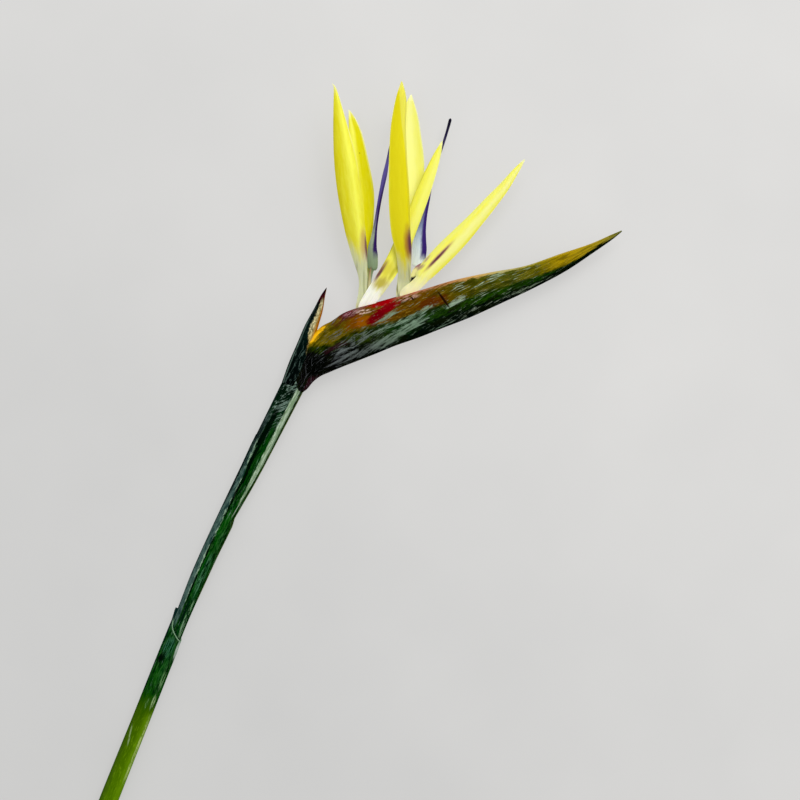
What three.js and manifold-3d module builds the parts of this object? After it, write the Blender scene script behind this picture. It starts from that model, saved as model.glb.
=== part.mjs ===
// A cut bird of paradise flower that lies on its side on a flat surface. Millimetres, +Z up from the surface.
// +X runs towards the beak of the spathe and +Y towards the tips of the sepals.
// The origin is on the surface, under the middle of the spathe's flattened flank.
import * as THREE from 'three';
import { LoftGeometry } from 'three/addons/geometries/LoftGeometry.js';
import { mergeVertices } from 'three/addons/utils/BufferGeometryUtils.js';
import Module from 'manifold-3d';

// Clear gap between neighbouring pieces, and the wider one past a slanting mouth.
const GAP = 0.3;
const MOUTH_GAP = 0.45;

// The flower stalk: stations from its cut foot to its neck, each x, y and radius.
const STALK = [
  [-151.7, -277.5, 4.75],
  [-135.5, -235.5, 4.65],
  [-119.7, -196, 4.45],
  [-103.7, -156, 4.4],
  [-86.8, -116, 4.35],
  [-67.2, -76, 5.15],
  [-44, -30, 5.8],
];
const STALK_SIDES = 20;
const FOOT_AXIS_Z = 4.6;
const NECK_AXIS_Z = 6.9;

// The sheathing bracts round the stalk: distances are measured along the stalk from its foot.
// The mouth leans by the tilts, and rises to a point of the given height and width on the left side.
const SHEATH_WALL = 0.8;
const LOWER_MOUTH = { middle: 135.4, leftTilt: 3.5, nearTilt: -1.3, pointHeight: 7.4, pointWidth: 0.35, proud: 0.9 };
const UPPER_MOUTH = { middle: 208, leftTilt: 14, nearTilt: -3, pointHeight: 19.5, pointWidth: 0.7, proud: 0.5 };
const POINT_ANGLE = Math.PI;

// The pointed bract that clasps the neck: x and y of its keel, depth from keel to margins, half height at the margins.
const BRACT = [
  [-49.1, -27.1, 6.0, 5.8],
  [-45.5, -17, 7.0, 5.9],
  [-41.5, -7.75, 7.5, 5.6],
  [-37.5, 1.5, 6.2, 4.6],
  [-33, 9.7, 4.2, 3.0],
  [-29.75, 16, 2.2, 1.7],
  [-26.9, 20, 0.75, 0.75],
];
const BRACT_WALL = 0.65;
const BRACT_ROOM = 0.36;
const BRACT_AXIS_Z = 7.0;

// The spathe: x and y of its rim, x and y of its keel, half width, height of its median plane.
const SPATHE = [
  [-48.1, -27.6, -38.7, -32.3, 4.7, 6.9],
  [-45.75, -23.25, -36.2, -30.25, 5.0, 6.95],
  [-42.75, -17, -33.5, -27, 5.5, 7.0],
  [-39.25, -11, -30, -24.25, 6.2, 7.15],
  [-35.25, -5.5, -25, -22, 6.9, 7.35],
  [-29.5, 0.5, -19, -19.5, 7.5, 7.55],
  [-24, 3.5, -13, -17.15, 7.85, 7.7],
  [-18.5, 7.25, -7.5, -15, 8.0, 7.7],
  [-12, 9.75, -1.5, -12.65, 8.05, 7.7],
  [-2.5, 12.25, 8, -8.75, 8.05, 7.7],
  [10, 15.75, 19.5, -4.75, 8.0, 7.7],
  [22.5, 19.5, 31.5, 0, 7.75, 7.7],
  [37.5, 24, 45, 5.25, 7.1, 7.7],
  [55, 27.75, 61.5, 12.75, 5.9, 7.8],
  [72.5, 31, 77, 20, 4.6, 7.9],
  [90, 37, 93, 28.5, 3.2, 8.1],
  [105, 42, 106.5, 37.5, 1.9, 8.3],
  [115, 46.35, 115.5, 43.75, 1.0, 8.5],
  [120.7, 48.75, 121, 48.2, 0.4, 8.6],
];
const SPATHE_MIDDLE_Z = 7.7;
const SPATHE_WIDEST = 0.42;
const SPATHE_RIM_SHARE = 0.56;
const SPATHE_LEVELS = [0.04, 0.13, 0.24, 0.34, 0.45, 0.58, 0.7, 0.82, 0.92, 1];
const SPATHE_ROWS = 38;

// The slit along the spathe's rim: station of the spathe, half width, depth.
const SLIT = [
  [6.6, 0.4, 1],
  [7.3, 1.8, 6],
  [7.8, 3.4, 13],
  [10.7, 3.4, 13],
  [11.3, 1.8, 8],
  [12, 0.8, 3],
  [13.5, 0.5, 1.5],
  [15.5, 0.4, 1],
  [16.3, 0.3, 0.5],
];
const SLIT_STEP = 0.25;
const SLIT_HEADROOM = 3;

// The ovaries stand on the floor of the slit, square to the rim there.
const RIM_SLOPE = THREE.MathUtils.degToRad(25);
const OVARY_PROFILE = [[0, 0], [1, 0], [1.5, 1.6], [2.6, 4], [2.9, 6.5], [2.7, 8.4], [0, 8.4]];
const OVARY_SIDES = 14;
const OVARY_DEPTH = 12.3;

// Sepals and petals: each station is x, y, height of the outer face at the margins, half width.
const SEPAL = { crown: 0.5, ridge: 0.3, wall: 1.1, edge: 0.65, rows: 16 };
const PETAL = { crown: 0.25, ridge: 0, wall: 1.2, edge: 0.7, rows: 18 };
const CLAW_SHARE = 0.38;
const TIP_HALF = 0.35;
// The wall leans with the outer face only where the blade is wider than its tip.
const LEAN_FROM = 0.4;
const LEAN_FULL = 2.4;

const FLORET_1 = {
  rim: [-9.5, 10.35],
  near: {
    crown: 0.5,
    ridge: 0.35,
    stations: [
      [-9.4, 7.3, 8.2, 1.9],
      [-10, 10.5, 8.2, 2.1],
      [-8.7, 18, 8.5, 2.1],
      [-8.6, 26, 9.2, 2.3],
      [-10.4, 37.5, 11, 4.05],
      [-12.6, 50, 13.2, 5.2],
      [-15, 66, 15.9, 5.9],
      [-16.9, 81, 18.2, 5.8],
      [-19, 95.5, 20.3, 4.3],
      [-20.9, 109, 22, 2.3],
      [-22.3, 120, 23.2, 0.4],
    ],
  },
  far: {
    crown: 0.32,
    ridge: 0,
    stations: [
      [-8.6, 8, 4.8, 1.7],
      [-8, 13, 4.7, 1.8],
      [-7.2, 20, 4.5, 1.8],
      [-7, 29, 4.1, 2],
      [-7.8, 40, 3.6, 3.2],
      [-8.2, 52, 3.1, 4.9],
      [-9, 68, 3, 6],
      [-10.8, 83, 2.9, 5.1],
      [-12.2, 96, 2.8, 3.5],
      [-13.9, 104, 2.9, 1.9],
      [-15.5, 109, 3, 0.35],
    ],
  },
  front: {
    crown: 0.3,
    ridge: -0.5,
    stations: [
      [-9, 8.4, 10.7, 1.6],
      [-7.6, 10.7, 10.7, 3.2],
      [-0.9, 20.5, 10.4, 4],
      [4.1, 28, 9, 4.2],
      [8.2, 35.5, 8.2, 4.25],
      [11.8, 43.5, 8.1, 4.3],
      [16.8, 55.5, 8.1, 3.9],
      [21.4, 67.5, 8.2, 3.6],
      [25.6, 78.5, 8.6, 2.8],
      [28.6, 86.5, 9, 1.8],
      [31, 93, 9.4, 0.4],
    ],
  },
  arrow: [
    [-6.6, 8.5, 7.4, 0.6],
    [-6, 15, 7.4, 0.6],
    [-5, 23, 7.3, 0.6],
    [-4, 29, 7.1, 0.9],
    [-3.6, 32, 7, 2.5],
    [-3.7, 36, 6.9, 2.6],
    [-3.8, 40, 6.8, 2.2],
    [-3.1, 45, 6.8, 1.5],
    [-2.2, 51.5, 6.7, 1],
    [-0.6, 61.5, 6.7, 0.95],
    [0.8, 69, 6.7, 1.05],
    [2.4, 76.5, 6.8, 1.15],
    [3.7, 83, 6.9, 0.8],
    [4.9, 89.5, 7, 0.6],
    [6.2, 96.5, 7.2, 0.5],
  ],
  nectary: [
    [-5.8, 8.9, 8.9, 0.5],
    [-5.5, 15, 8.9, 0.55],
    [-4.9, 22, 8.8, 0.7],
    [-4.6, 27, 8.6, 0.6],
    [-4.2, 30.6, 8.3, 0.35],
  ],
  style: [
    [6.3, 96.9, 6.75],
    [7.3, 101.5, 7],
    [8.4, 106.5, 7.4],
    [9.1, 110, 7.8],
  ],
};

const FLORET_2 = {
  rim: [11.2, 16.15],
  near: {
    crown: 0.55,
    ridge: 0.72,
    stations: [
      [11.3, 13.1, 8.2, 1.9],
      [10.6, 16.5, 8.2, 2.6],
      [12, 23, 8.2, 3.4],
      [12.2, 29.5, 10.3, 3.25],
      [11.8, 38.5, 12.8, 4],
      [10.4, 48, 14.8, 4.85],
      [9.7, 61, 17, 5.25],
      [9.3, 74, 19, 4.95],
      [9, 87, 20.8, 4.4],
      [9.2, 100, 22.2, 3.8],
      [10.5, 113, 23.6, 2.8],
      [10.8, 122, 24.4, 0.4],
    ],
  },
  far: {
    crown: 0.32,
    ridge: 0,
    stations: [
      [12.1, 13.8, 4.8, 1.7],
      [12.6, 19, 4.7, 1.8],
      [13.5, 27, 4.4, 1.8],
      [13.7, 38, 3.8, 2],
      [14.6, 52, 3.3, 3.6],
      [16, 67, 3, 5.6],
      [16, 83, 3, 6.1],
      [15.5, 96, 2.9, 5.1],
      [15.3, 105, 2.8, 3.9],
      [15.2, 112, 2.9, 2.2],
      [15.5, 116.5, 3, 0.4],
    ],
  },
  front: {
    crown: 0.35,
    ridge: -0.5,
    stations: [
      [11.7, 14.2, 10.5, 1.6],
      [13, 17, 10.5, 3.1],
      [16.5, 21, 10.6, 3.7],
      [22.2, 27.5, 10.6, 4.5],
      [31.8, 37.2, 10.8, 5],
      [40, 45.5, 11, 4.75],
      [47.8, 54, 11.2, 4],
      [55, 62.2, 11.5, 3.45],
      [62.1, 70.5, 12, 2.6],
      [68, 78.5, 12.6, 1.5],
      [71.8, 83.5, 13, 0.4],
    ],
  },
  arrow: [
    [14.1, 14.3, 7.4, 0.6],
    [15.3, 19, 7.4, 0.6],
    [16.9, 25, 7.2, 0.7],
    [18.2, 30, 7, 1.3],
    [19.2, 33.6, 6.9, 3],
    [19.8, 38.5, 6.7, 3.5],
    [20, 44, 6.4, 3.1],
    [20.6, 49.5, 6.1, 2.4],
    [22, 56.5, 5.9, 1.6],
    [23.8, 64, 5.8, 1.1],
    [25.3, 70, 5.8, 1],
    [27.2, 76.5, 5.8, 0.95],
    [29.1, 82.5, 5.9, 0.65],
    [30.8, 88, 6, 0.5],
  ],
  nectary: [
    [15, 15, 8.8, 0.5],
    [16, 19.5, 8.8, 0.6],
    [17.3, 24, 8.6, 0.75],
    [18.8, 28.2, 8.4, 0.6],
    [20.9, 31, 8.4, 0.35],
  ],
  style: [
    [30.9, 88.4, 5.4],
    [32.6, 94, 5.8],
    [34, 100, 6.2],
    [35.3, 104.8, 6.6],
  ],
};
const STYLE_RADIUS = 0.6;
const STYLE_SIDES = 8;

const COLOURS = {
  stalk: 0x1f4a24,
  sheathLower: 0x4a781c,
  sheathUpper: 0x1d4c2c,
  bract: 0x26402a,
  spathe: 0x3a4a16,
  sepal: 0xf0e21e,
  arrow: 0x4a3f92,
  nectary: 0x9c7a48,
  style: 0x221c44,
  ovary: 0xd6d79c,
};

const wasm = await Module();
wasm.setup();

const part = new THREE.Group();

function add(name, geometry, colour, roughness) {
  const material = new THREE.MeshStandardMaterial({ color: colour, roughness, metalness: 0 });
  const mesh = new THREE.Mesh(geometry, material);
  mesh.name = name;
  part.add(mesh);
  return mesh;
}

// A smooth curve through three columns of a list of stations; its parameter counts the stations evenly.
function curveThrough(stations, columns) {
  const points = stations.map((station) => new THREE.Vector3(...columns.map((column) => station[column])));
  return new THREE.CatmullRomCurve3(points, false, 'catmullrom', 0.5);
}

// The three directions at a point of a path that lies about level: along it, to its right, and up.
function frameAt(path, t) {
  const along = path.getTangent(t);
  const side = new THREE.Vector3(along.y, -along.x, 0).normalize();
  const up = new THREE.Vector3().crossVectors(side, along);
  return { centre: path.getPoint(t), side, up };
}

function placed(frame, sideways, upwards) {
  return frame.centre.clone().addScaledVector(frame.side, sideways).addScaledVector(frame.up, upwards);
}

// What would dip below the surface is pressed flat on it.
function pressedFlat(point) {
  point.z = Math.max(point.z, 0);
  return point;
}

function solidOf(geometry) {
  const bare = new THREE.BufferGeometry();
  bare.setAttribute('position', geometry.getAttribute('position'));
  bare.setIndex(geometry.index);
  const merged = mergeVertices(bare, 1e-4);
  return new wasm.Manifold(
    new wasm.Mesh({
      numProp: 3,
      vertProperties: merged.getAttribute('position').array,
      triVerts: new Uint32Array(merged.index.array),
    }),
  );
}

function geometryOf(solid) {
  const mesh = solid.getMesh();
  const geometry = new THREE.BufferGeometry();
  geometry.setAttribute('position', new THREE.BufferAttribute(mesh.vertProperties, 3));
  geometry.setIndex(new THREE.BufferAttribute(mesh.triVerts, 1));
  return geometry;
}

// The stalk's axis rises evenly from the foot, which lies on the surface, to the thicker neck.
const stalkStations = STALK.map(([x, y, radius], i) => {
  const z = THREE.MathUtils.lerp(FOOT_AXIS_Z, NECK_AXIS_Z, i / (STALK.length - 1));
  return [x, y, z, radius];
});
const stalkAxis = curveThrough(stalkStations, [0, 1, 2]);
const stalkRadius = curveThrough(stalkStations, [3, 3, 3]);
const STALK_LENGTH = stalkAxis.getLength();

// A point on the stalk's skin, or inset below it, at a distance from the foot.
function onStalk(distance, angle, inset) {
  const t = stalkAxis.getUtoTmapping(THREE.MathUtils.clamp(distance / STALK_LENGTH, 0, 1));
  const radius = stalkRadius.getPoint(t).x - inset;
  return placed(frameAt(stalkAxis, t), radius * Math.cos(angle), radius * Math.sin(angle));
}

// How near an angle round the stalk is to the mouth's pointed side, from 0 to 1.
function pointShare(mouth, angle) {
  return Math.exp(-(((angle - POINT_ANGLE) / mouth.pointWidth) ** 2));
}

// The distance of a sheath's mouth from the stalk's foot, at an angle round the stalk.
function mouthAt(mouth, angle) {
  const leaning = mouth.middle - mouth.leftTilt * Math.cos(angle) + mouth.nearTilt * Math.sin(angle);
  return leaning + mouth.pointHeight * pointShare(mouth, angle);
}

// The distance just past a mouth that keeps the clear gap square to its slanting edge.
function pastMouth(mouth, angle) {
  const turn = (2 * Math.PI) / STALK_SIDES;
  const edge = mouthAt(mouth, angle);
  const climbs = [turn, -turn].map((step) => Math.abs(mouthAt(mouth, angle + step) - edge) / turn);
  return edge + MOUTH_GAP * Math.hypot(1, Math.max(...climbs) / STALK[0][2]);
}

function stalkGeometry() {
  const inset = SHEATH_WALL + GAP;
  const rowsCovered = 14;
  const rowsBare = 6;
  const rows = [];
  for (let i = 0; i <= rowsCovered; i++) {
    rows.push((angle) => onStalk((pastMouth(UPPER_MOUTH, angle) * i) / rowsCovered, angle, inset));
  }
  for (let i = 0; i <= rowsBare; i++) {
    rows.push((angle) => {
      const distance = THREE.MathUtils.lerp(pastMouth(UPPER_MOUTH, angle), STALK_LENGTH, i / rowsBare);
      return onStalk(distance, angle, 0);
    });
  }
  const sections = rows.map((row) => {
    const ring = [];
    for (let k = 0; k < STALK_SIDES; k++) {
      ring.push(pressedFlat(row(2 * Math.PI * (1 - k / STALK_SIDES))));
    }
    return ring;
  });
  return new LoftGeometry(sections, { capStart: true, capEnd: true });
}

// A sheath is a closed sleeve: each section is the outline of its wall at one angle round the stalk.
function sheathGeometry(bottomAt, mouth, rows) {
  const sections = [];
  for (let k = 0; k <= STALK_SIDES; k++) {
    const angle = (2 * Math.PI * k) / STALK_SIDES;
    const bottom = bottomAt(angle);
    const top = mouthAt(mouth, angle);
    const outer = [];
    const inner = [];
    for (let i = 0; i <= rows; i++) {
      const distance = THREE.MathUtils.lerp(bottom, top, i / rows);
      const nearMouth = THREE.MathUtils.smoothstep(distance, top - mouth.pointHeight, top);
      const proud = mouth.proud * nearMouth * pointShare(mouth, angle);
      outer.push(pressedFlat(onStalk(distance, angle, -proud)));
      inner.unshift(onStalk(distance, angle, SHEATH_WALL));
    }
    sections.push([...inner, ...outer]);
  }
  return new LoftGeometry(sections);
}

// The neck bract is a folded blade, open to the right, that tapers to a point.
// With spare room on every side it is the hollow that the spathe leaves for it.
function bractGeometry(spare) {
  const rows = 14;
  const arcPoints = 8;
  const keel = curveThrough(BRACT, [0, 1, 1]);
  const size = curveThrough(BRACT, [2, 3, 3]);
  const sections = [];
  for (let i = 0; i <= rows; i++) {
    const t = i / rows;
    const frame = frameAt(keel, t);
    if (i === 0) frame.centre.addScaledVector(keel.getTangent(t), -2 * spare);
    if (i === rows) frame.centre.addScaledVector(keel.getTangent(t), 2 * spare);
    frame.centre.z = THREE.MathUtils.lerp(NECK_AXIS_Z, BRACT_AXIS_Z, t);
    frame.up.set(0, 0, 1);
    const depth = size.getPoint(t).x;
    const half = size.getPoint(t).y;
    const arc = (inset) => {
      const points = [];
      for (let k = 0; k <= arcPoints; k++) {
        const angle = Math.PI * (0.5 - k / arcPoints);
        const across = Math.max(depth - inset, 0.1) * Math.cos(angle);
        const upward = Math.max(half - inset, 0.1) * Math.sin(angle);
        points.push(placed(frame, depth - across + spare * Math.abs(Math.sin(angle)), upward));
      }
      return points;
    };
    sections.push([...arc(-spare).reverse(), ...arc(BRACT_WALL + spare)]);
  }
  return new LoftGeometry(sections, { capStart: true, capEnd: true });
}

const rimLine = curveThrough(SPATHE, [0, 1, 5]);
const keelLine = curveThrough(SPATHE, [2, 3, 5]);
const spatheWidth = curveThrough(SPATHE, [4, 4, 4]);

// Half width of the spathe as a share of its widest, from the keel at 0 to the rim at 1.
function spatheShare(level) {
  if (level < SPATHE_WIDEST) return Math.sqrt(1 - ((SPATHE_WIDEST - level) / SPATHE_WIDEST) ** 2.4);
  const over = (level - SPATHE_WIDEST) / (1 - SPATHE_WIDEST);
  return SPATHE_RIM_SHARE + (1 - SPATHE_RIM_SHARE) * Math.sqrt(1 - over ** 2.2);
}

function spatheGeometry() {
  const sections = [];
  for (let i = 0; i <= SPATHE_ROWS; i++) {
    const t = i / SPATHE_ROWS;
    const rim = rimLine.getPoint(t);
    const keel = keelLine.getPoint(t);
    const half = spatheWidth.getPoint(t).x;
    const flank = (sign) => SPATHE_LEVELS.map((level) => {
      const point = new THREE.Vector3().lerpVectors(keel, rim, level);
      point.z += sign * half * spatheShare(level);
      return pressedFlat(point);
    });
    sections.push([keel, ...flank(-1), ...flank(1).reverse()]);
  }
  const boat = solidOf(new LoftGeometry(sections, { capStart: true, capEnd: true }));
  const slit = solidOf(slitGeometry());
  const bractRoom = solidOf(bractGeometry(BRACT_ROOM));
  return geometryOf(boat.subtract(slit).subtract(bractRoom));
}

function slitGeometry() {
  const sections = [];
  const first = SLIT[0][0];
  const last = SLIT.at(-1)[0];
  for (let station = first; station <= last; station += SLIT_STEP) {
    const next = Math.max(SLIT.findIndex((row) => row[0] > station), 1);
    const [from, to] = [SLIT[next - 1], SLIT[next]];
    const share = (station - from[0]) / (to[0] - from[0]);
    const half = THREE.MathUtils.lerp(from[1], to[1], share);
    const depth = THREE.MathUtils.lerp(from[2], to[2], share);
    const t = station / (SPATHE.length - 1);
    const rim = rimLine.getPoint(t);
    const down = keelLine.getPoint(t).sub(rim).normalize();
    const corner = (deep, sideways) => {
      const point = rim.clone().addScaledVector(down, deep);
      point.z += sideways;
      return point;
    };
    sections.push([
      corner(-SLIT_HEADROOM, half),
      corner(depth - half / 2, half),
      corner(depth, half / 2),
      corner(depth, -half / 2),
      corner(depth - half / 2, -half),
      corner(-SLIT_HEADROOM, -half),
    ]);
  }
  return new LoftGeometry(sections, { capStart: true, capEnd: true });
}

// A sepal or petal: a thin keeled blade whose outer face is turned up, or down where facing is -1.
function bladeGeometry(stations, form, facing) {
  const path = curveThrough(stations, [0, 1, 2]);
  const width = curveThrough(stations, [3, 3, 3]);
  const steps = 3;
  const shares = [];
  for (let k = 0; k < steps; k++) shares.push(THREE.MathUtils.lerp(-1, form.ridge, k / steps));
  for (let k = 0; k <= steps; k++) shares.push(THREE.MathUtils.lerp(form.ridge, 1, k / steps));
  const roof = (share) => {
    const reach = share < form.ridge ? form.ridge + 1 : 1 - form.ridge;
    return 1 - (Math.abs(share - form.ridge) / reach) ** 1.7;
  };
  const sections = [];
  for (let i = 0; i <= form.rows; i++) {
    const t = i / form.rows;
    const frame = frameAt(path, t);
    const half = Math.max(width.getPoint(t).x, TIP_HALF);
    const crown = form.crown * half * THREE.MathUtils.smoothstep(t, 0, CLAW_SHARE);
    const lean = THREE.MathUtils.smoothstep(half, LEAN_FROM, LEAN_FULL);
    const outer = shares.map((share) => new THREE.Vector2(share * half, crown * roof(share)));
    const inner = outer.map((point, k) => {
      const before = outer[Math.max(k - 1, 0)];
      const after = outer[Math.min(k + 1, outer.length - 1)];
      const normal = new THREE.Vector2((before.y - after.y) * lean, after.x - before.x).normalize();
      const wall = THREE.MathUtils.lerp(form.edge, form.wall, roof(shares[k]));
      return point.clone().addScaledVector(normal, -wall);
    });
    const ring = [...outer, ...inner.reverse()].map(({ x, y }) => placed(frame, x, y * facing));
    sections.push(facing > 0 ? ring : ring.reverse());
  }
  return new LoftGeometry(sections, { capStart: true, capEnd: true });
}

function ovaryGeometry() {
  const profile = OVARY_PROFILE.map(([radius, height]) => new THREE.Vector2(radius, height));
  return new THREE.LatheGeometry(profile, OVARY_SIDES);
}

function styleGeometry(stations) {
  const ring = new THREE.Shape().absarc(0, 0, STYLE_RADIUS, 0, 2 * Math.PI);
  const extrudePath = curveThrough(stations, [0, 1, 2]);
  return new THREE.ExtrudeGeometry(ring, { steps: 6, curveSegments: STYLE_SIDES / 2, extrudePath });
}

function addFloret(number, floret) {
  const sepal = (side) => ({ ...SEPAL, crown: side.crown, ridge: side.ridge });
  const { near, far, front } = floret;
  add(`sepal_near_${number}`, bladeGeometry(near.stations, sepal(near), 1), COLOURS.sepal, 0.45);
  add(`sepal_far_${number}`, bladeGeometry(far.stations, sepal(far), -1), COLOURS.sepal, 0.45);
  add(`sepal_front_${number}`, bladeGeometry(front.stations, sepal(front), 1), COLOURS.sepal, 0.45);
  add(`arrow_${number}`, bladeGeometry(floret.arrow, PETAL, 1), COLOURS.arrow, 0.4);
  const nectary = { ...PETAL, crown: 0.1, wall: 0.7, rows: 8 };
  add(`nectary_${number}`, bladeGeometry(floret.nectary, nectary, 1), COLOURS.nectary, 0.5);
  add(`style_${number}`, styleGeometry(floret.style), COLOURS.style, 0.5);

  const ovary = add(`ovary_${number}`, ovaryGeometry(), COLOURS.ovary, 0.5);
  const [x, y] = floret.rim;
  const below = new THREE.Vector2(Math.sin(RIM_SLOPE), -Math.cos(RIM_SLOPE)).multiplyScalar(OVARY_DEPTH);
  ovary.position.set(x + below.x, y + below.y, SPATHE_MIDDLE_Z);
  ovary.rotation.z = RIM_SLOPE;
}

const belowFoot = () => 0;
const aboveLowerMouth = (angle) => pastMouth(LOWER_MOUTH, angle);
add('stem', stalkGeometry(), COLOURS.stalk, 0.5);
add('sheath_lower', sheathGeometry(belowFoot, LOWER_MOUTH, 9), COLOURS.sheathLower, 0.5);
add('sheath_upper', sheathGeometry(aboveLowerMouth, UPPER_MOUTH, 8), COLOURS.sheathUpper, 0.5);
add('neck_bract', bractGeometry(0), COLOURS.bract, 0.5);
add('spathe', spatheGeometry(), COLOURS.spathe, 0.45);
addFloret(1, FLORET_1);
addFloret(2, FLORET_2);

export default part;
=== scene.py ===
"""A cut bird of paradise flower lying on a pale surface, seen from straight above. Metres, +Z up."""
import math

import bpy
import numpy as np
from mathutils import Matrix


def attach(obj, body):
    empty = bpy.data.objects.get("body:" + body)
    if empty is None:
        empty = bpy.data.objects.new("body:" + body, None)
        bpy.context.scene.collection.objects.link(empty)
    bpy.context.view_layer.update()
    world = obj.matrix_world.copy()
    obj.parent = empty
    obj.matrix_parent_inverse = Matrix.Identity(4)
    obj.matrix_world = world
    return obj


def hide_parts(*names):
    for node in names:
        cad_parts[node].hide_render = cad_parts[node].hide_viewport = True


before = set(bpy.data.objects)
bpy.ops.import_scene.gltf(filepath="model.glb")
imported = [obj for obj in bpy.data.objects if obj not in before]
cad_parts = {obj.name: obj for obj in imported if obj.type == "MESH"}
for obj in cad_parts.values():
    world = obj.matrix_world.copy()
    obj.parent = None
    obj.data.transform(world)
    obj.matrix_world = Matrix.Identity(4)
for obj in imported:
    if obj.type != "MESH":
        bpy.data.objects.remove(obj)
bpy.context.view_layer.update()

# The flower stalk.
# One solid, juicy stem that carries the whole flower. Its lower part is hidden in two sheathing bracts,
# and its green skin is coated with streaks of grey wax. It is cut square at the foot.
MM = 0.001
# What turns metres into millimetres inside a finish, and how deep a finish's relief is in metres.
PER_METRE = 1000
RELIEF_DEPTH = 0.0002
STALK_LINE = [
    (-151.7, -277.5, 4.75), (-135.5, -235.5, 4.65), (-119.7, -196, 4.45), (-103.7, -156, 4.4),
    (-86.8, -116, 4.35), (-67.2, -76, 5.15), (-44, -30, 5.8),
]
FOOT_AXIS_Z = 4.6
NECK_AXIS_Z = 6.9
SHEATH_WALL = 0.8
# Inside the sheaths the stalk's radius is smaller by this much.
SHEATH_ROOM = 1.9 * SHEATH_WALL
STALK_STEPS = 240
# The skin's pattern is laid out for a stalk of this length and radius, and of this half width as seen from
# above.
STALK_LENGTH = 280
STALK_GIRTH = 4.8
STALK_HALF_WIDTH = 4.6
# The stalk thickens to its full width where the upper sheath ends: distances from the foot.
STALK_SWELLS = (180, 232)
NECK_LENGTH = 9
NECK_STEPS = 18
STALK_SIDES = 72
# The mouth of the lower sheath: its height at the middle, how much higher it is on the left side, on the near
# side and at its point, the point's width in radians, how far it stands out, the wall, and what the tip adds
# to the wall.
LOWER_MOUTH = {
    "middle": 135.4, "left": 3.5, "near": -1.3, "point": 7.4, "width": 0.5, "proud": 0.75,
    "wall": 0.8, "tip": 1.0,
}
# The stalk's skin carries a painted shadow round this mouth, and its point is drawn there with this
# steepness.
MOUTH_POINT_FALL = 16.3


def smooth_through(rows, count):
    """A smooth curve through measured rows of numbers, with count rows spaced evenly in the old numbering."""
    rows = np.array(rows, float)
    padded = np.vstack([2 * rows[0] - rows[1], rows, 2 * rows[-1] - rows[-2]])
    place = np.linspace(0, len(rows) - 1, count)
    first = np.minimum(place.astype(int), len(rows) - 2)
    share = (place - first)[:, None]
    before, start, end, after = (padded[first + k] for k in range(4))
    bend = 2 * before - 5 * start + 4 * end - after
    twist = 3 * (start - end) + after - before
    return 0.5 * (2 * start + share * (end - before) + share**2 * bend + share**3 * twist)


def ease(value, low, high):
    """0 below low, 1 above high, and a soft step between them."""
    share = np.clip((np.asarray(value, float) - low) / (high - low), 0, 1)
    return share * share * (3 - 2 * share)


def along_line(points):
    """The distance of each point of a line from its start."""
    return np.concatenate([[0], np.cumsum(np.linalg.norm(np.diff(points, axis=0), axis=1))])


def tint(red, green, blue):
    """A colour as the eye reads it on a screen, turned into light."""
    return tuple(c / 12.92 if c <= 0.04045 else ((c + 0.055) / 1.055) ** 2.4 for c in
                 (red / 255, green / 255, blue / 255))


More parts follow.
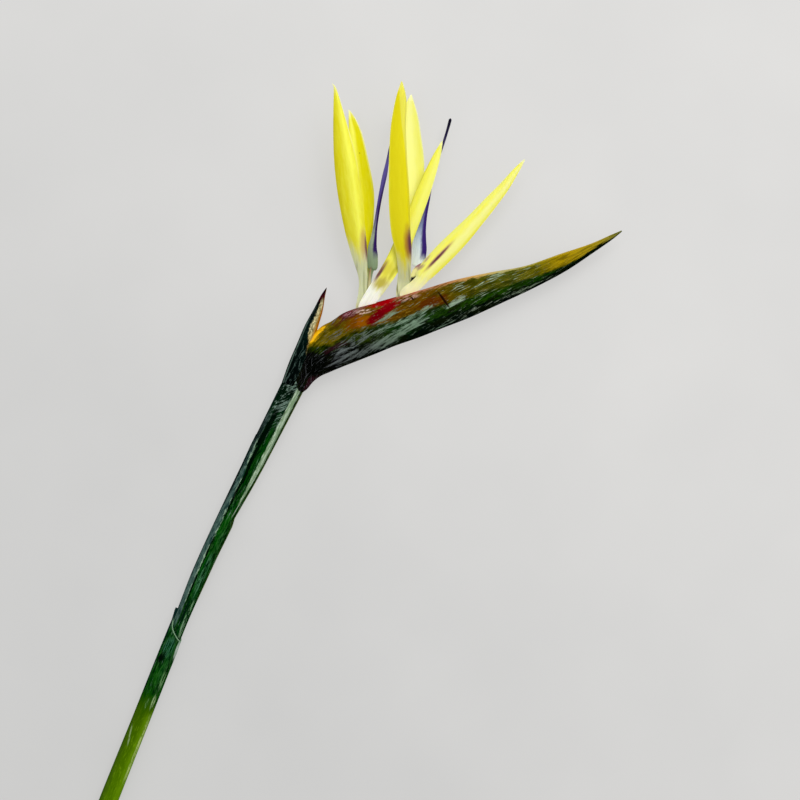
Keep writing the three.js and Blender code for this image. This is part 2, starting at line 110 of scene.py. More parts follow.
class Palette:
    """Adds nodes to one tree. Each call takes sockets or plain values, and gives back an output socket."""

    def __init__(self, tree):
        self.tree = tree

    def node(self, kind, inputs=(), **settings):
        made = self.tree.nodes.new(kind)
        for name, value in settings.items():
            setattr(made, name, value)
        for key, value in dict(inputs).items():
            self.feed(made.inputs[key], value)
        return made

    def feed(self, socket, value):
        """Links a socket, or sets a plain value on it. A colour is given as the eye reads it on a screen."""
        if isinstance(value, bpy.types.NodeSocket):
            self.tree.links.new(value, socket)
        elif socket.type == "RGBA":
            socket.default_value = (*tint(*value), 1)
        else:
            socket.default_value = value

    def maths(self, kind, *values, clamp=False):
        return self.node("ShaderNodeMath", enumerate(values), operation=kind, use_clamp=clamp).outputs[0]

    def plus(self, first, second):
        return self.maths("ADD", first, second)

    def less(self, first, second):
        return self.maths("SUBTRACT", first, second)

    def times(self, first, second):
        return self.maths("MULTIPLY", first, second)

    def larger(self, first, second):
        return self.maths("MAXIMUM", first, second)

    def scaled(self, value, factor, start, clamp=False):
        """The value times a factor, on top of a start."""
        return self.maths("MULTIPLY_ADD", value, factor, start, clamp=clamp)

    def both(self, *masks):
        """One mask that holds where all of these hold. A plain number weakens it."""
        result = masks[0]
        for mask in masks[1:]:
            result = self.times(result, mask)
        return result

    def rise(self, value, low, high):
        """0 below low and 1 above high. Where high is the lower one, it falls instead."""
        rising = high > low
        made = self.node(
            "ShaderNodeMapRange",
            {"Value": value, "From Min": min(low, high), "From Max": max(low, high),
             "To Min": 0.0 if rising else 1.0, "To Max": 1.0 if rising else 0.0},
            interpolation_type="SMOOTHSTEP",
        )
        return made.outputs[0]

    def band(self, value, low, high, soft):
        """1 between low and high, and 0 outside, over a soft edge."""
        return self.both(self.rise(value, low - soft, low + soft), self.rise(value, high + soft, high - soft))

    def mix(self, mask, under, over):
        made = self.node("ShaderNodeMix", data_type="RGBA", clamp_factor=True)
        for index, value in ((0, mask), (6, under), (7, over)):
            self.feed(made.inputs[index], value)
        return made.outputs[2]

    def paint(self, under, over, *masks):
        """The colour under, with the colour over on top of it where all the masks hold."""
        return self.mix(self.both(*masks), under, over)

    def ramp(self, value, stops):
        """Colours or plain levels along a value. Each stop is a place, and what it turns into there."""
        made = self.node("ShaderNodeValToRGB", {0: value})
        while len(made.color_ramp.elements) < len(stops):
            made.color_ramp.elements.new(0.5)
        for element, (place, shade) in zip(made.color_ramp.elements, stops):
            element.position = place
            element.color = (*tint(*shade), 1) if isinstance(shade, tuple) else (shade, shade, shade, 1)
        return made.outputs[0]

    def noise(self, place, scale, detail=3.0, roughness=0.5):
        values = {"Vector": place, "Scale": scale, "Detail": detail, "Roughness": roughness}
        return self.node("ShaderNodeTexNoise", values).outputs[0]

    def stretched(self, place, scale, shift=(0, 0, 0)):
        made = self.node("ShaderNodeMapping", {"Vector": place, "Scale": scale, "Location": shift})
        return made.outputs[0]

    def enlarged(self, vector, factors):
        """A vector times one factor, or times a factor for each axis."""
        if isinstance(factors, tuple):
            return self.node("ShaderNodeVectorMath", {0: vector, 1: factors}, operation="MULTIPLY").outputs[0]
        return self.node("ShaderNodeVectorMath", {0: vector, 3: factors}, operation="SCALE").outputs[0]

    def marks(self, name, kind="Vector"):
        """What a piece's mesh carries under this name, at each of its points."""
        return self.node("ShaderNodeAttribute", attribute_name=name).outputs[kind]

    def parts(self, vector):
        return self.node("ShaderNodeSeparateXYZ", {0: vector}).outputs

    def joined(self, x, y, z=0.0):
        return self.node("ShaderNodeCombineXYZ", {0: x, 1: y, 2: z}).outputs[0]

    def object_place(self):
        return self.node("ShaderNodeTexCoord").outputs["Object"]

    def flat_place(self):
        """The place on a piece as it is seen from above, in millimetres."""
        return self.enlarged(self.object_place(), (PER_METRE, PER_METRE, 0))

    def oval(self, place, middle, reach, turn=0.0, soft=0.5, torn=None):
        """An oval patch at a flat place, turned by degrees. soft is its faded share, and torn its edge."""
        made = self.node("ShaderNodeMapping", {"Vector": place}, vector_type="TEXTURE")
        made.inputs["Location"].default_value = (*middle, 0)
        made.inputs["Rotation"].default_value = (0, 0, math.radians(turn))
        made.inputs["Scale"].default_value = (*reach, 1)
        away = self.node("ShaderNodeVectorMath", {0: made.outputs[0]}, operation="LENGTH").outputs["Value"]
        if torn is not None:
            away = self.plus(away, torn)
        return self.rise(away, 1, 1 - soft)

    def bump(self, height, strength, depth=RELIEF_DEPTH):
        made = self.node("ShaderNodeBump", {"Height": height, "Strength": strength, "Distance": depth})
        return made.outputs[0]

    def group(self, name, **inputs):
        made = self.node("ShaderNodeGroup", node_tree=bpy.data.node_groups[name])
        for key, value in inputs.items():
            self.feed(made.inputs[key.replace("_", " ").capitalize()], value)
        return made.outputs


def effect(name, inputs, outputs):
    """A new shader group with named sockets, and what its inputs give inside it."""
    tree = bpy.data.node_groups.new(name, "ShaderNodeTree")
    for label, kind in inputs:
        tree.interface.new_socket(label, in_out="INPUT", socket_type=kind)
    for label, kind in outputs:
        tree.interface.new_socket(label, in_out="OUTPUT", socket_type=kind)
    palette = Palette(tree)
    return palette, palette.node("NodeGroupInput").outputs, palette.node("NodeGroupOutput").inputs


def finish_of(name):
    """A new material and its palette."""
    material = bpy.data.materials.new(name)
    material.use_nodes = True
    return material, Palette(material.node_tree)


def finished(material, palette, colour, roughness, gloss, relief=None, **more):
    """Feeds the material's own shader. Gloss is its specular level, and more are other sockets by name."""
    surface = material.node_tree.nodes["Principled BSDF"]
    sockets = {"Base Color": colour, "Roughness": roughness, "Specular IOR Level": gloss}
    sockets |= {key.replace("_", " ").title(): value for key, value in more.items()}
    if relief is not None:
        sockets["Normal"] = relief
    for label, value in sockets.items():
        palette.feed(surface.inputs[label], value)
    return material


# Wax bloom lies in torn strokes along the growth. Place is in millimetres, with its third axis along them.
wax, wax_in, wax_out = effect(
    "wax bloom",
    [("Place", "NodeSocketVector"), ("Coverage", "NodeSocketFloat"), ("Grain", "NodeSocketFloat")],
    [("Mask", "NodeSocketFloat")],
)
wax_place = wax.enlarged(wax_in["Place"], wax_in["Grain"])
wax_wave = wax.noise(wax.stretched(wax_place, (0.14, 0.14, 0.045), (4, 4, 4)), 1.0, 2.0, 0.5)
wax_bent = wax.node(
    "ShaderNodeVectorMath", {0: wax_wave, 1: (5, 0, 0), 2: wax_place}, operation="MULTIPLY_ADD",
).outputs[0]
wax_patches = wax.noise(wax.stretched(wax_place, (0.3, 0.3, 0.08)), 1.0, 3.0, 0.55)
wax_strands = wax.noise(wax.stretched(wax_bent, (0.9, 0.9, 0.07), (7, 3, 5)), 1.0, 2.0, 0.5)
wax_fine = wax.noise(wax.stretched(wax_bent, (2.4, 2.4, 0.3), (2, 8, 1)), 1.0, 4.0, 0.65)
wax_height = wax.scaled(wax_fine, 0.6, wax.scaled(wax_patches, 0.4, wax_strands))
wax_edge = wax.scaled(wax_in["Coverage"], -0.42, 1.2)
wax_gap = wax.less(wax_height, wax_edge)
wax.feed(wax_out["Mask"], wax.rise(wax_gap, -0.02, 0.13))

# Growth lines are fine fibres side by side: a value round 0.5, for colour and for relief.
lines, lines_in, lines_out = effect(
    "growth lines",
    [("Place", "NodeSocketVector"), ("Fineness", "NodeSocketFloat")],
    [("Value", "NodeSocketFloat")],
)
lines_place = lines.enlarged(lines_in["Place"], lines_in["Fineness"])
lines.feed(lines_out["Value"], lines.noise(lines.stretched(lines_place, (1, 1, 0.06)), 1.0, 4.0, 0.7))


def growing_tree(name, shape, inputs):
    """A new tree that grows on a shape, its palette, and what its named inputs give inside it."""
    tree = bpy.data.node_groups.new(name, "GeometryNodeTree")
    for label, kind, value in ((shape, "Geometry", None), *inputs, ("Skin", "Material", None)):
        socket = tree.interface.new_socket(label, in_out="INPUT", socket_type=f"NodeSocket{kind}")
        if value is not None:
            socket.default_value = value
    tree.interface.new_socket("Grown", in_out="OUTPUT", socket_type="NodeSocketGeometry")
    grow = Palette(tree)
    return tree, grow, grow.node("NodeGroupInput").outputs


def raised_and_coated(grow, geometry, height, skin):
    """Ends a growing tree: moves its faces out by a height, makes all of it real, and gives it its skin."""
    lift = grow.enlarged(grow.node("GeometryNodeInputNormal").outputs[0], height)
    raised = grow.node("GeometryNodeSetPosition", {"Geometry": geometry, "Offset": lift}).outputs[0]
    real = grow.node("GeometryNodeRealizeInstances", {"Geometry": raised}).outputs[0]
    coated = grow.node("GeometryNodeSetMaterial", {"Geometry": real, "Material": skin}).outputs[0]
    grow.feed(grow.node("NodeGroupOutput").inputs["Grown"], coated)


def wavering(grow, seed, scale):
    """A noise that differs from seed to seed."""
    values = {"W": seed, "Scale": scale}
    return grow.node("ShaderNodeTexNoise", values, noise_dimensions="4D").outputs[0]


def tube_tree():
    """The tree that grows a round stem on a line of points, each with its own thickness."""
    tree, grow, given = growing_tree("stem on a line", "Line", [
        ("Sides", "Int", 48), ("Ribs", "Int", 20), ("Rib height", "Float", 0.0), ("Seed", "Int", 1),
    ])

    def named(label, kind="FLOAT"):
        return grow.node("GeometryNodeInputNamedAttribute", {"Name": label}, data_type=kind).outputs[0]

    def stored(geometry, label, value):
        made = grow.node("GeometryNodeStoreNamedAttribute", data_type="FLOAT_VECTOR", domain="POINT")
        for key, item in (("Geometry", geometry), ("Name", label), ("Value", value)):
            grow.feed(made.inputs[key], item)
        return made.outputs[0]

    circle = grow.node("GeometryNodeCurvePrimitiveCircle", {"Resolution": given["Sides"], "Radius": 1.0})
    around = grow.node("GeometryNodeInputPosition").outputs[0]
    ring = stored(circle.outputs["Curve"], "around", around)
    line = grow.node("GeometryNodeMeshToCurve", {"Mesh": given["Line"]}).outputs[0]
    upright = grow.node("GeometryNodeSetCurveNormal", {"Curve": line}, mode="Z_UP").outputs[0]
    tube = grow.node(
        "GeometryNodeCurveToMesh",
        {"Curve": upright, "Profile Curve": ring, "Scale": named("thickness"), "Fill Caps": True},
    ).outputs[0]
    turn = grow.parts(named("around", "FLOAT_VECTOR"))
    near = grow.times(turn[1], -1.0)
    marked = stored(tube, "skin", grow.joined(turn[0], near, named("along")))
    angle = grow.times(grow.maths("ARCTAN2", turn[1], turn[0]), given["Ribs"])
    rib = grow.maths("SINE", grow.scaled(wavering(grow, given["Seed"], 60.0), 5.0, angle))
    raised_and_coated(grow, marked, grow.times(rib, given["Rib height"]), given["Skin"])
    return tree


def applied(piece, tree, **values):
    """Runs a growing tree on a piece with these named inputs, and keeps the result as the piece's mesh."""
    modifier = piece.modifiers.new("grow", "NODES")
    modifier.node_group = tree
    for item in tree.interface.items_tree:
        key = item.name.replace(" ", "_").lower()
        if item.in_out == "INPUT" and key in values:
            modifier[item.identifier] = values[key]
    seen = piece.evaluated_get(bpy.context.evaluated_depsgraph_get())
    mesh = bpy.data.meshes.new_from_object(seen)
    piece.modifiers.remove(modifier)
    piece.data = mesh
    return piece


def smoothed(piece, sharp=55):
    piece.data.shade_smooth()
    piece.data.set_sharp_from_angle(angle=math.radians(sharp))
    return piece


def placed_in_scene(name, mesh):
    piece = bpy.data.objects.new(name, mesh)
    bpy.context.scene.collection.objects.link(piece)
    return piece


def grown_tube(name, line, thickness, tree, **values):
    """A stem along a line in millimetres, with one thickness for each of its points."""
    mesh = bpy.data.meshes.new(name)
    steps = len(line)
    mesh.from_pydata(np.array(line) * MM, [(k, k + 1) for k in range(steps - 1)], [])
    for label, numbers in (("thickness", np.array(thickness) * MM), ("along", along_line(line) * MM)):
        mesh.attributes.new(label, "FLOAT", "POINT").data.foreach_set("value", np.array(numbers, np.float32))
    return smoothed(applied(placed_in_scene(name, mesh), tree, **values))


def belongs(piece, node):
    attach(piece, "root")
    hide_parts(node)


def stalk_green(palette, skin):
    """The stalk's colours from its cut foot to its neck: yellow green, deep green, and a black green neck."""
    right, near, along = palette.parts(skin)
    up = palette.times(along, PER_METRE)
    place = palette.enlarged(skin, (STALK_GIRTH, STALK_GIRTH, PER_METRE))
    flat = palette.joined(palette.times(right, STALK_HALF_WIDTH), up)
    fibre = palette.group("growth lines", place=place, fineness=1.8)["Value"]
    blotch = palette.noise(palette.stretched(place, (0.5, 0.5, 0.1), (2, 9, 4)), 1.0, 4.0, 0.6)
    ragged = palette.noise(palette.stretched(place, (1.3, 1.3, 0.3), (5, 1, 8)), 1.0, 4.0, 0.65)
    torn = palette.less(ragged, 0.5)
    strokes = palette.rise(palette.scaled(torn, 0.6, fibre), 0.46, 0.6)
    side = palette.scaled(torn, 0.3, right)

    height = palette.scaled(palette.less(blotch, 0.5), 16.0, up)
    colour = palette.ramp(palette.maths("DIVIDE", height, STALK_LENGTH), [
        (0.0, (82, 124, 4)), (0.22, (72, 108, 0)), (0.32, (58, 92, 0)), (0.36, (12, 68, 0)),
        (0.46, (0, 56, 10)), (0.52, (0, 50, 14)), (0.6, (0, 66, 2)), (0.78, (0, 62, 0)),
        (0.88, (0, 46, 4)), (0.93, (2, 26, 10)), (0.97, (4, 4, 5)),
    ])
    deep = palette.rise(up, 94, 106)
    for shade, *masks in (
        ((0, 30, 16), palette.rise(ragged, 0.5, 0.38), deep, 0.6),
        ((0, 22, 4), palette.rise(blotch, 0.46, 0.57), deep, 0.85),
        ((58, 104, 52), palette.rise(ragged, 0.52, 0.64), palette.band(up, 104, 215, 14), 0.45),
        ((34, 104, 24), strokes, deep, palette.rise(up, 262, 240), 0.3),
    ):
        colour = palette.paint(colour, shade, *masks)

    # The foot is mottled. Its right half is painted lighter and its left side darker, as light and shade, and
    # its right edge carries a painted highlight.
    foot = palette.rise(height, 97, 86)
    for shade, mask, amount in (
        ((62, 98, 0), palette.rise(ragged, 0.5, 0.36), 0.5),
        ((126, 166, 24), palette.rise(ragged, 0.54, 0.66), 0.4),
        ((114, 158, 10), palette.rise(side, 0.0, 0.8), 0.6),
        ((58, 88, 14), palette.rise(side, -0.2, -0.9), 0.65),
    ):
        colour = palette.paint(colour, shade, foot, mask, amount)
    # A painted highlight in pale dashes along the right edge of the foot.
    painted_highlight_edge = palette.both(
        palette.band(right, 0.7, 0.92, 0.06), palette.band(up, 58, 88, 6), palette.rise(ragged, 0.42, 0.5),
    )
    colour = palette.paint(colour, (186, 206, 120), painted_highlight_edge, 0.85)
    for middle, reach, turn in (((-1.8, 76.5), (0.5, 4), 8), ((-2.6, 80.5), (0.5, 4.5), 10)):
        scratches = palette.both(
            palette.oval(flat, middle, reach, turn), palette.rise(ragged, 0.4, 0.5), 0.65,
        )
        colour = palette.mix(scratches, colour, (150, 172, 120))

    # A grey green band of wax lies along the left side, with a torn pale edge and a black line beside it.
    border = palette.scaled(palette.rise(up, 198, 240), -0.22, -0.34)
    past = palette.scaled(palette.less(blotch, 0.5), 0.7, palette.less(side, border))
    wax_band = palette.both(palette.rise(past, 0.05, -0.05), palette.band(up, 139, 254, 4))
    band_grey = palette.mix(palette.rise(ragged, 0.32, 0.62), (20, 50, 48), (82, 106, 100))
    band_grey = palette.paint(
        band_grey, palette.mix(strokes, (10, 20, 20), (66, 78, 76)), palette.rise(up, 228, 244), 0.8,
    )
    colour = palette.paint(colour, band_grey, wax_band, 0.9)
    pale_line = palette.both(
        palette.band(past, -0.07, 0.03, 0.03), palette.band(up, 150, 240, 6),
        palette.rise(ragged, 0.42, 0.54),
    )
    colour = palette.paint(colour, (150, 178, 150), pale_line, 0.85)
    left_edge = palette.both(palette.rise(right, -0.86, -0.98), deep, 0.85)
    colour = palette.mix(left_edge, colour, (14, 34, 34))
    tip_shade = palette.both(palette.rise(side, -0.7, -0.86), palette.band(up, 206, 246, 6), 0.9)
    colour = palette.mix(tip_shade, colour, (8, 18, 16))

    # A pale stripe of wax runs down the right side from the neck.
    half = palette.scaled(palette.rise(up, 200, 228), 0.15, 0.05)
    off = palette.less(palette.maths("ABSOLUTE", palette.less(side, 0.62)), half)
    stripe = palette.both(
        palette.rise(off, 0.06, -0.06), palette.band(up, 200, 272, 5), palette.rise(near, -0.3, 0.1),
    )
    colour = palette.paint(colour, palette.mix(strokes, (132, 160, 122), (184, 204, 178)), stripe, 0.95)
    # A dark line near the right edge, beside the pale stripe, is painted shade where the stalk curves away.
    under = palette.both(palette.band(right, 0.86, 0.91, 0.03), palette.rise(up, 150, 170), 0.8)
    colour = palette.mix(under, colour, (8, 34, 8))
    olive = palette.both(
        palette.rise(palette.scaled(torn, 0.1, right), 0.9, 0.97), palette.rise(up, 148, 160), 0.85,
    )
    colour = palette.mix(olive, colour, palette.mix(strokes, (58, 82, 16), (104, 120, 44)))

    # Single patches of wax and of black, at the same places on every stalk skin.
    low_stripe = palette.both(palette.band(side, 0.56, 0.78, 0.06), palette.band(up, 132, 153, 2), strokes)
    colour = palette.paint(colour, (124, 162, 122), low_stripe, 0.9)
    for middle, reach, shade, amount in (
        ((2.9, 111), (1.1, 9), (118, 156, 106), 0.85),
        ((2.7, 98), (1.1, 5.5), (156, 182, 128), 0.85),
        ((0, 96.5), (0.8, 3.5), (130, 168, 110), 0.6),
        ((-0.4, 126.5), (3.6, 7.5), (58, 108, 88), 0.75),
        ((1.6, 166), (1.9, 15), (76, 126, 94), 0.8),
        ((2.2, 186), (1.4, 10), (58, 104, 58), 0.6),
        ((1.6, 118), (2.4, 12), (40, 92, 44), 0.5),
        ((2.3, 142), (0.9, 9), (132, 166, 132), 0.8),
    ):
        patch = palette.both(palette.oval(flat, middle, reach, torn=torn), strokes, amount)
        colour = palette.mix(patch, colour, shade)
    bright = palette.both(
        palette.oval(flat, (4.3, 127), (1.2, 6.5), torn=torn), palette.rise(near, -0.2, 0.2), 0.9,
    )
    colour = palette.mix(bright, colour, palette.mix(strokes, (150, 176, 156), (200, 208, 200)))
    for middle, reach, shade in (
        ((-2.3, 120.5), (1.6, 5), (2, 14, 6)), ((0.2, 145), (1.1, 8.5), (2, 26, 12)),
    ):
        black = palette.oval(flat, middle, reach, torn=palette.times(torn, 2.0))
        colour = palette.mix(black, colour, shade)

    # The neck carries slanting strokes of wax.
    slanted = palette.node(
        "ShaderNodeMapping", {"Vector": place, "Rotation": (0, math.radians(-36), 0)},
    ).outputs[0]
    chevron = palette.group("wax bloom", place=slanted, coverage=0.42, grain=1.4)["Mask"]
    chevrons = palette.both(chevron, palette.band(side, -0.75, 0.5, 0.15), palette.rise(up, 246, 257))
    colour = palette.paint(colour, (122, 146, 132), chevrons, 0.75)
    coverage = palette.times(deep, 0.06)
    flecks = palette.both(palette.group("wax bloom", place=place, coverage=coverage, grain=1.3)["Mask"], deep)
    colour = palette.paint(colour, (116, 152, 128), flecks, 0.6)

    # A black line lies beside the grey band, and widens to a patch below the neck.
    line_width = palette.scaled(palette.rise(up, 196, 232), 0.3, 0.18)
    dark_line = palette.both(
        palette.rise(past, 0.02, 0.08), palette.rise(palette.less(past, line_width), 0.06, -0.04),
        palette.band(up, 152, 258, 5),
        palette.rise(palette.scaled(palette.rise(up, 196, 226), 0.2, blotch), 0.42, 0.5),
    )
    colour = palette.paint(colour, (0, 7, 3), dark_line, 0.95)
    waxy = palette.larger(palette.larger(wax_band, stripe), palette.larger(chevrons, flecks))

    # The cut foot shows pale pith, speckled by the strands that run through it.
    from_axis = palette.maths("SQRT", palette.scaled(right, right, palette.both(near, near)))
    pith = palette.both(palette.rise(from_axis, 0.98, 0.86), palette.rise(up, 1.0, 0.4))
    speckle = palette.rise(palette.noise(palette.stretched(skin, (7, 7, 0)), 1.0, 2.0, 0.6), 0.5, 0.62)
    colour = palette.mix(pith, colour, palette.mix(speckle, (202, 212, 150), (150, 168, 88)))
    return colour, waxy, fibre, past_lower_mouth(palette, right, near, up)


def past_lower_mouth(palette, right, near, up):
    """How far up from the lower sheath's mouth a point of the skin lies, in millimetres."""
    tip = palette.maths("EXPONENT", palette.times(palette.plus(right, 1.0), -MOUTH_POINT_FALL))
    mouth = palette.scaled(near, LOWER_MOUTH["near"], LOWER_MOUTH["middle"])
    mouth = palette.scaled(right, -LOWER_MOUTH["left"], mouth)
    return palette.less(up, palette.scaled(tip, LOWER_MOUTH["point"], mouth))


def stalk_skin(name, lip=0.0):
    """Waxy stalk skin. lip is how pale the very edge of a sheath's mouth is."""
    material, palette = finish_of(name)
    colour, waxy, fibre, past_mouth = stalk_green(palette, palette.marks("skin"))
    # A painted shadow lies on the skin just above the lower sheath's mouth.
    shadow = palette.both(palette.band(past_mouth, 0.2, 0.8, 0.3), 0.85)
    colour = palette.mix(shadow, colour, (4, 32, 20))
    if lip:
        away = palette.marks("lip", "Fac")
        side = palette.parts(palette.marks("skin"))[0]
        dry = palette.both(palette.rise(away, 0.0009, 0.0003), palette.rise(side, -0.95, -0.8))
        colour = palette.paint(colour, (132, 168, 132), dry, lip)
        point = palette.both(palette.rise(away, 0.014, 0.009), palette.rise(side, -0.8, -0.92))
        colour = palette.paint(colour, (4, 34, 30), point, 0.9)
    roughness = palette.scaled(waxy, 0.2, palette.scaled(fibre, 0.12, 0.34))
    relief = palette.bump(palette.scaled(waxy, 0.35, fibre), 0.5)
    return finished(material, palette, colour, roughness, gloss=0.0, relief=relief)


stem_tree = tube_tree()
stalk_rows = np.array(STALK_LINE)
stalk_z = np.linspace(FOOT_AXIS_Z, NECK_AXIS_Z, len(stalk_rows))
stalk_fine = smooth_through(np.column_stack([stalk_rows[:, :2], stalk_z, stalk_rows[:, 2]]), STALK_STEPS)
stalk_axis = stalk_fine[:, :3]
stalk_radius = stalk_fine[:, 3]
stalk_along = along_line(stalk_axis)
core_radius = stalk_radius - SHEATH_ROOM + SHEATH_ROOM * ease(stalk_along, *STALK_SWELLS)
# The end of the stalk is rounded off inside the spathe's base.
neck_way = (stalk_axis[-1] - stalk_axis[-2]) / np.linalg.norm(stalk_axis[-1] - stalk_axis[-2])
neck_steps = NECK_LENGTH * np.sin(np.linspace(0.08, math.pi / 2, NECK_STEPS))
neck_line = stalk_axis[-1] + neck_steps[:, None] * neck_way
neck_radius = stalk_radius[-1] * np.sqrt(np.clip(1 - (neck_steps / NECK_LENGTH) ** 2, 0.0004, 1))
stem = grown_tube(
    "stem", np.vstack([stalk_axis, neck_line]), np.concatenate([core_radius, neck_radius]), stem_tree,
    sides=STALK_SIDES, ribs=26, rib_height=0.00004, seed=3, skin=stalk_skin("stalk skin"),
)
belongs(stem, "stem")

# The sheathing bracts.
# Two leaf sheaths wrapped right round the stalk, one out of the other, each with a slanting mouth that rises
# to a small blunt tip on the left. They are thin, green like the stalk, and paler and dry at the very edge.
SHEATH_SIDES = 96
SHEATH_ROWS = 90
# Below 1, the rows lie closer together towards the mouth.
SHEATH_ROW_SPREAD = 0.8
POINT_ANGLE = math.pi
UPPER_MOUTH = {
    "middle": 208, "left": 14, "near": -3, "point": 19.5, "width": 0.7, "proud": 0.35,
    "wall": 0.6, "tip": 0.3,
}
UPPER_SHEATH_START = 118
# The upper sheath lies inside the lower one, and widens to its full width over these distances.
UPPER_SHEATH_WIDENS = (138, 170)
# Where the foot lies flat, the inner wall stays this high above the surface.
INNER_WALL_Z = 0.25
LIP_LENGTH = 9
LIP_WALL = 0.4
# Where the wall gets thinner towards the lip, this share of it comes off the outside.
THINNED_OUTSIDE = 0.6


def skinned(name, rings, marks, looped=False):
    """A closed mesh through rings of points in millimetres. marks holds numbers for each point, by name."""
    rings = np.array(rings, float)
    rows, around = rings.shape[:2]
    points = rings.reshape(-1, 3)
    faces = []
    for i in range(rows if looped else rows - 1):
        here = i * around
        there = ((i + 1) % rows) * around
        faces += [
            (here + k, here + (k + 1) % around, there + (k + 1) % around, there + k) for k in range(around)
        ]
    numbers = {label: np.array(value, float).reshape(len(points), -1) for label, value in marks.items()}
    if not looped:
        for row, flip in ((0, -1), (rows - 1, 1)):
            rim = np.arange(around) + row * around
            middle = len(points)
            points = np.vstack([points, points[rim].mean(0)])
            numbers = {label: np.vstack([value, value[rim].mean(0)]) for label, value in numbers.items()}
            faces += [(rim[k], rim[(k + 1) % around], middle)[::flip] for k in range(around)]
    mesh = bpy.data.meshes.new(name)
    mesh.from_pydata(points * MM, [], faces)
    if inside_out(mesh):
        mesh.flip_normals()
    for label, value in numbers.items():
        kind, field = ("FLOAT", "value") if value.shape[1] == 1 else ("FLOAT_VECTOR", "vector")
        mesh.attributes.new(label, kind, "POINT").data.foreach_set(field, value.astype(np.float32).ravel())
    return smoothed(placed_in_scene(name, mesh))


def inside_out(mesh):
    mesh.calc_loop_triangles()
    corners = np.array([[mesh.vertices[v].co for v in t.vertices] for t in mesh.loop_triangles])
    return np.einsum("ij,ij->i", corners[:, 0], np.cross(corners[:, 1], corners[:, 2])).sum() < 0


def stalk_frame(distance):
    """The stalk's middle, its rightward and upward direction, and its radius, at distances from its foot."""
    middle = np.stack([np.interp(distance, stalk_along, stalk_axis[:, k]) for k in range(3)], -1)
    slope = np.gradient(stalk_axis, stalk_along, axis=0)
    ahead = np.stack([np.interp(distance, stalk_along, slope[:, k]) for k in range(3)], -1)
    ahead /= np.linalg.norm(ahead, axis=-1, keepdims=True)
    right = np.stack([ahead[..., 1], -ahead[..., 0], 0 * ahead[..., 0]], -1)
    right /= np.linalg.norm(right, axis=-1, keepdims=True)
    return middle, right, np.cross(right, ahead), np.interp(distance, stalk_along, stalk_radius)


def side_by_side(*columns):
    """Numbers for each point, in columns. A single number is the same for every point."""
    return np.column_stack(np.broadcast_arrays(*columns))


def point_share(mouth, angle):
    return np.exp(-(((angle - POINT_ANGLE) / mouth["width"]) ** 2))


def mouth_height(mouth, angle):
    lean = mouth["middle"] - mouth["left"] * math.cos(angle) + mouth["near"] * math.sin(angle)
    return lean + mouth["point"] * point_share(mouth, angle)


def sheath(name, bottom, mouth, tucked):
    """A thin sleeve on the stalk. tucked gives how far in it lies, for each distance from the foot."""
    rings, skins, lips = [], [], []
    for k in range(SHEATH_SIDES):
        angle = 2 * math.pi * k / SHEATH_SIDES
        top = mouth_height(mouth, angle)
        distance = bottom + (top - bottom) * np.linspace(0, 1, SHEATH_ROWS) ** SHEATH_ROW_SPREAD
        wall = LIP_WALL + (mouth["wall"] - LIP_WALL) * ease(top - distance, 0, LIP_LENGTH)
        proud = mouth["proud"] * point_share(mouth, angle) * ease(distance, top - mouth["point"], top)
        middle, right, upward, radius = stalk_frame(distance)
        outer = radius - tucked(distance) + proud - (mouth["wall"] - wall) * THINNED_OUTSIDE
        wall = wall + mouth["tip"] * point_share(mouth, angle) * ease(distance, top - mouth["point"], top)
        spoke = math.cos(angle) * right + math.sin(angle) * upward
        skin = side_by_side(math.cos(angle), math.sin(angle), distance * MM)
        outside = middle + spoke * outer[:, None]
        inside = middle + spoke * (outer - wall)[:, None]
        outside[:, 2] = np.maximum(outside[:, 2], 0)
        inside[:, 2] = np.maximum(inside[:, 2], INNER_WALL_Z)
        rings.append(np.vstack([outside, inside[::-1]]))
        skins.append(np.vstack([skin, skin[::-1]]))
        lips.append(np.concatenate([top - distance, (top - distance)[::-1]]) * MM)
    return skinned(name, rings, {"skin": skins, "lip": lips}, looped=True)


sheath_lower = sheath("sheath_lower", 0, LOWER_MOUTH, lambda s: 0 * s)
sheath_lower.data.materials.append(stalk_skin("lower sheath skin", lip=0.9))
belongs(sheath_lower, "sheath_lower")
sheath_upper = sheath(
    "sheath_upper", UPPER_SHEATH_START, UPPER_MOUTH,
    lambda s: SHEATH_WALL * (1 - ease(s, *UPPER_SHEATH_WIDENS)),
)
sheath_upper.data.materials.append(stalk_skin("upper sheath skin", lip=0.08))
belongs(sheath_upper, "sheath_upper")

# The neck bract.
# A folded, pointed bract that clasps the neck opposite the spathe. Its back is black green with a brown hem,
# its thin margin is cream, and its inner face, which shows beyond the near margin, is orange.
BRACT_LINE = [
    (-49.1, -27.1, 6.2, 6.0), (-45.5, -17, 7.2, 6.1), (-41.5, -7.75, 7.7, 5.8), (-37.5, 1.5, 6.6, 4.7),
    (-33, 9.7, 4.6, 3.0), (-29.75, 16, 2.4, 1.7), (-27.6, 19.2, 0.9, 0.8), (-26.7, 20.3, 0.15, 0.15),
]
# The near margin reaches only this share as far as the far one, and gets there over these shares of the
# length.
BRACT_NEAR_SHARE = 0.87
BRACT_NEAR_SHORTENS = (0.1, 0.45)
# The bract's middle rises by this much towards its tip.
BRACT_CLIMB = 0.1
BRACT_WALL = 0.7
BRACT_MARGIN_WALL_SHARE = 0.35
# The wall is never thicker than this share of the bract's half height.
BRACT_WALL_MOST = 0.8
# The wall gets thinner towards the tip, from where the bract is this deep.
BRACT_THINS = 2.5
BRACT_ROWS = 80
BRACT_AROUND = 26
# The length of the pattern on the bract.
BRACT_LENGTH = 60


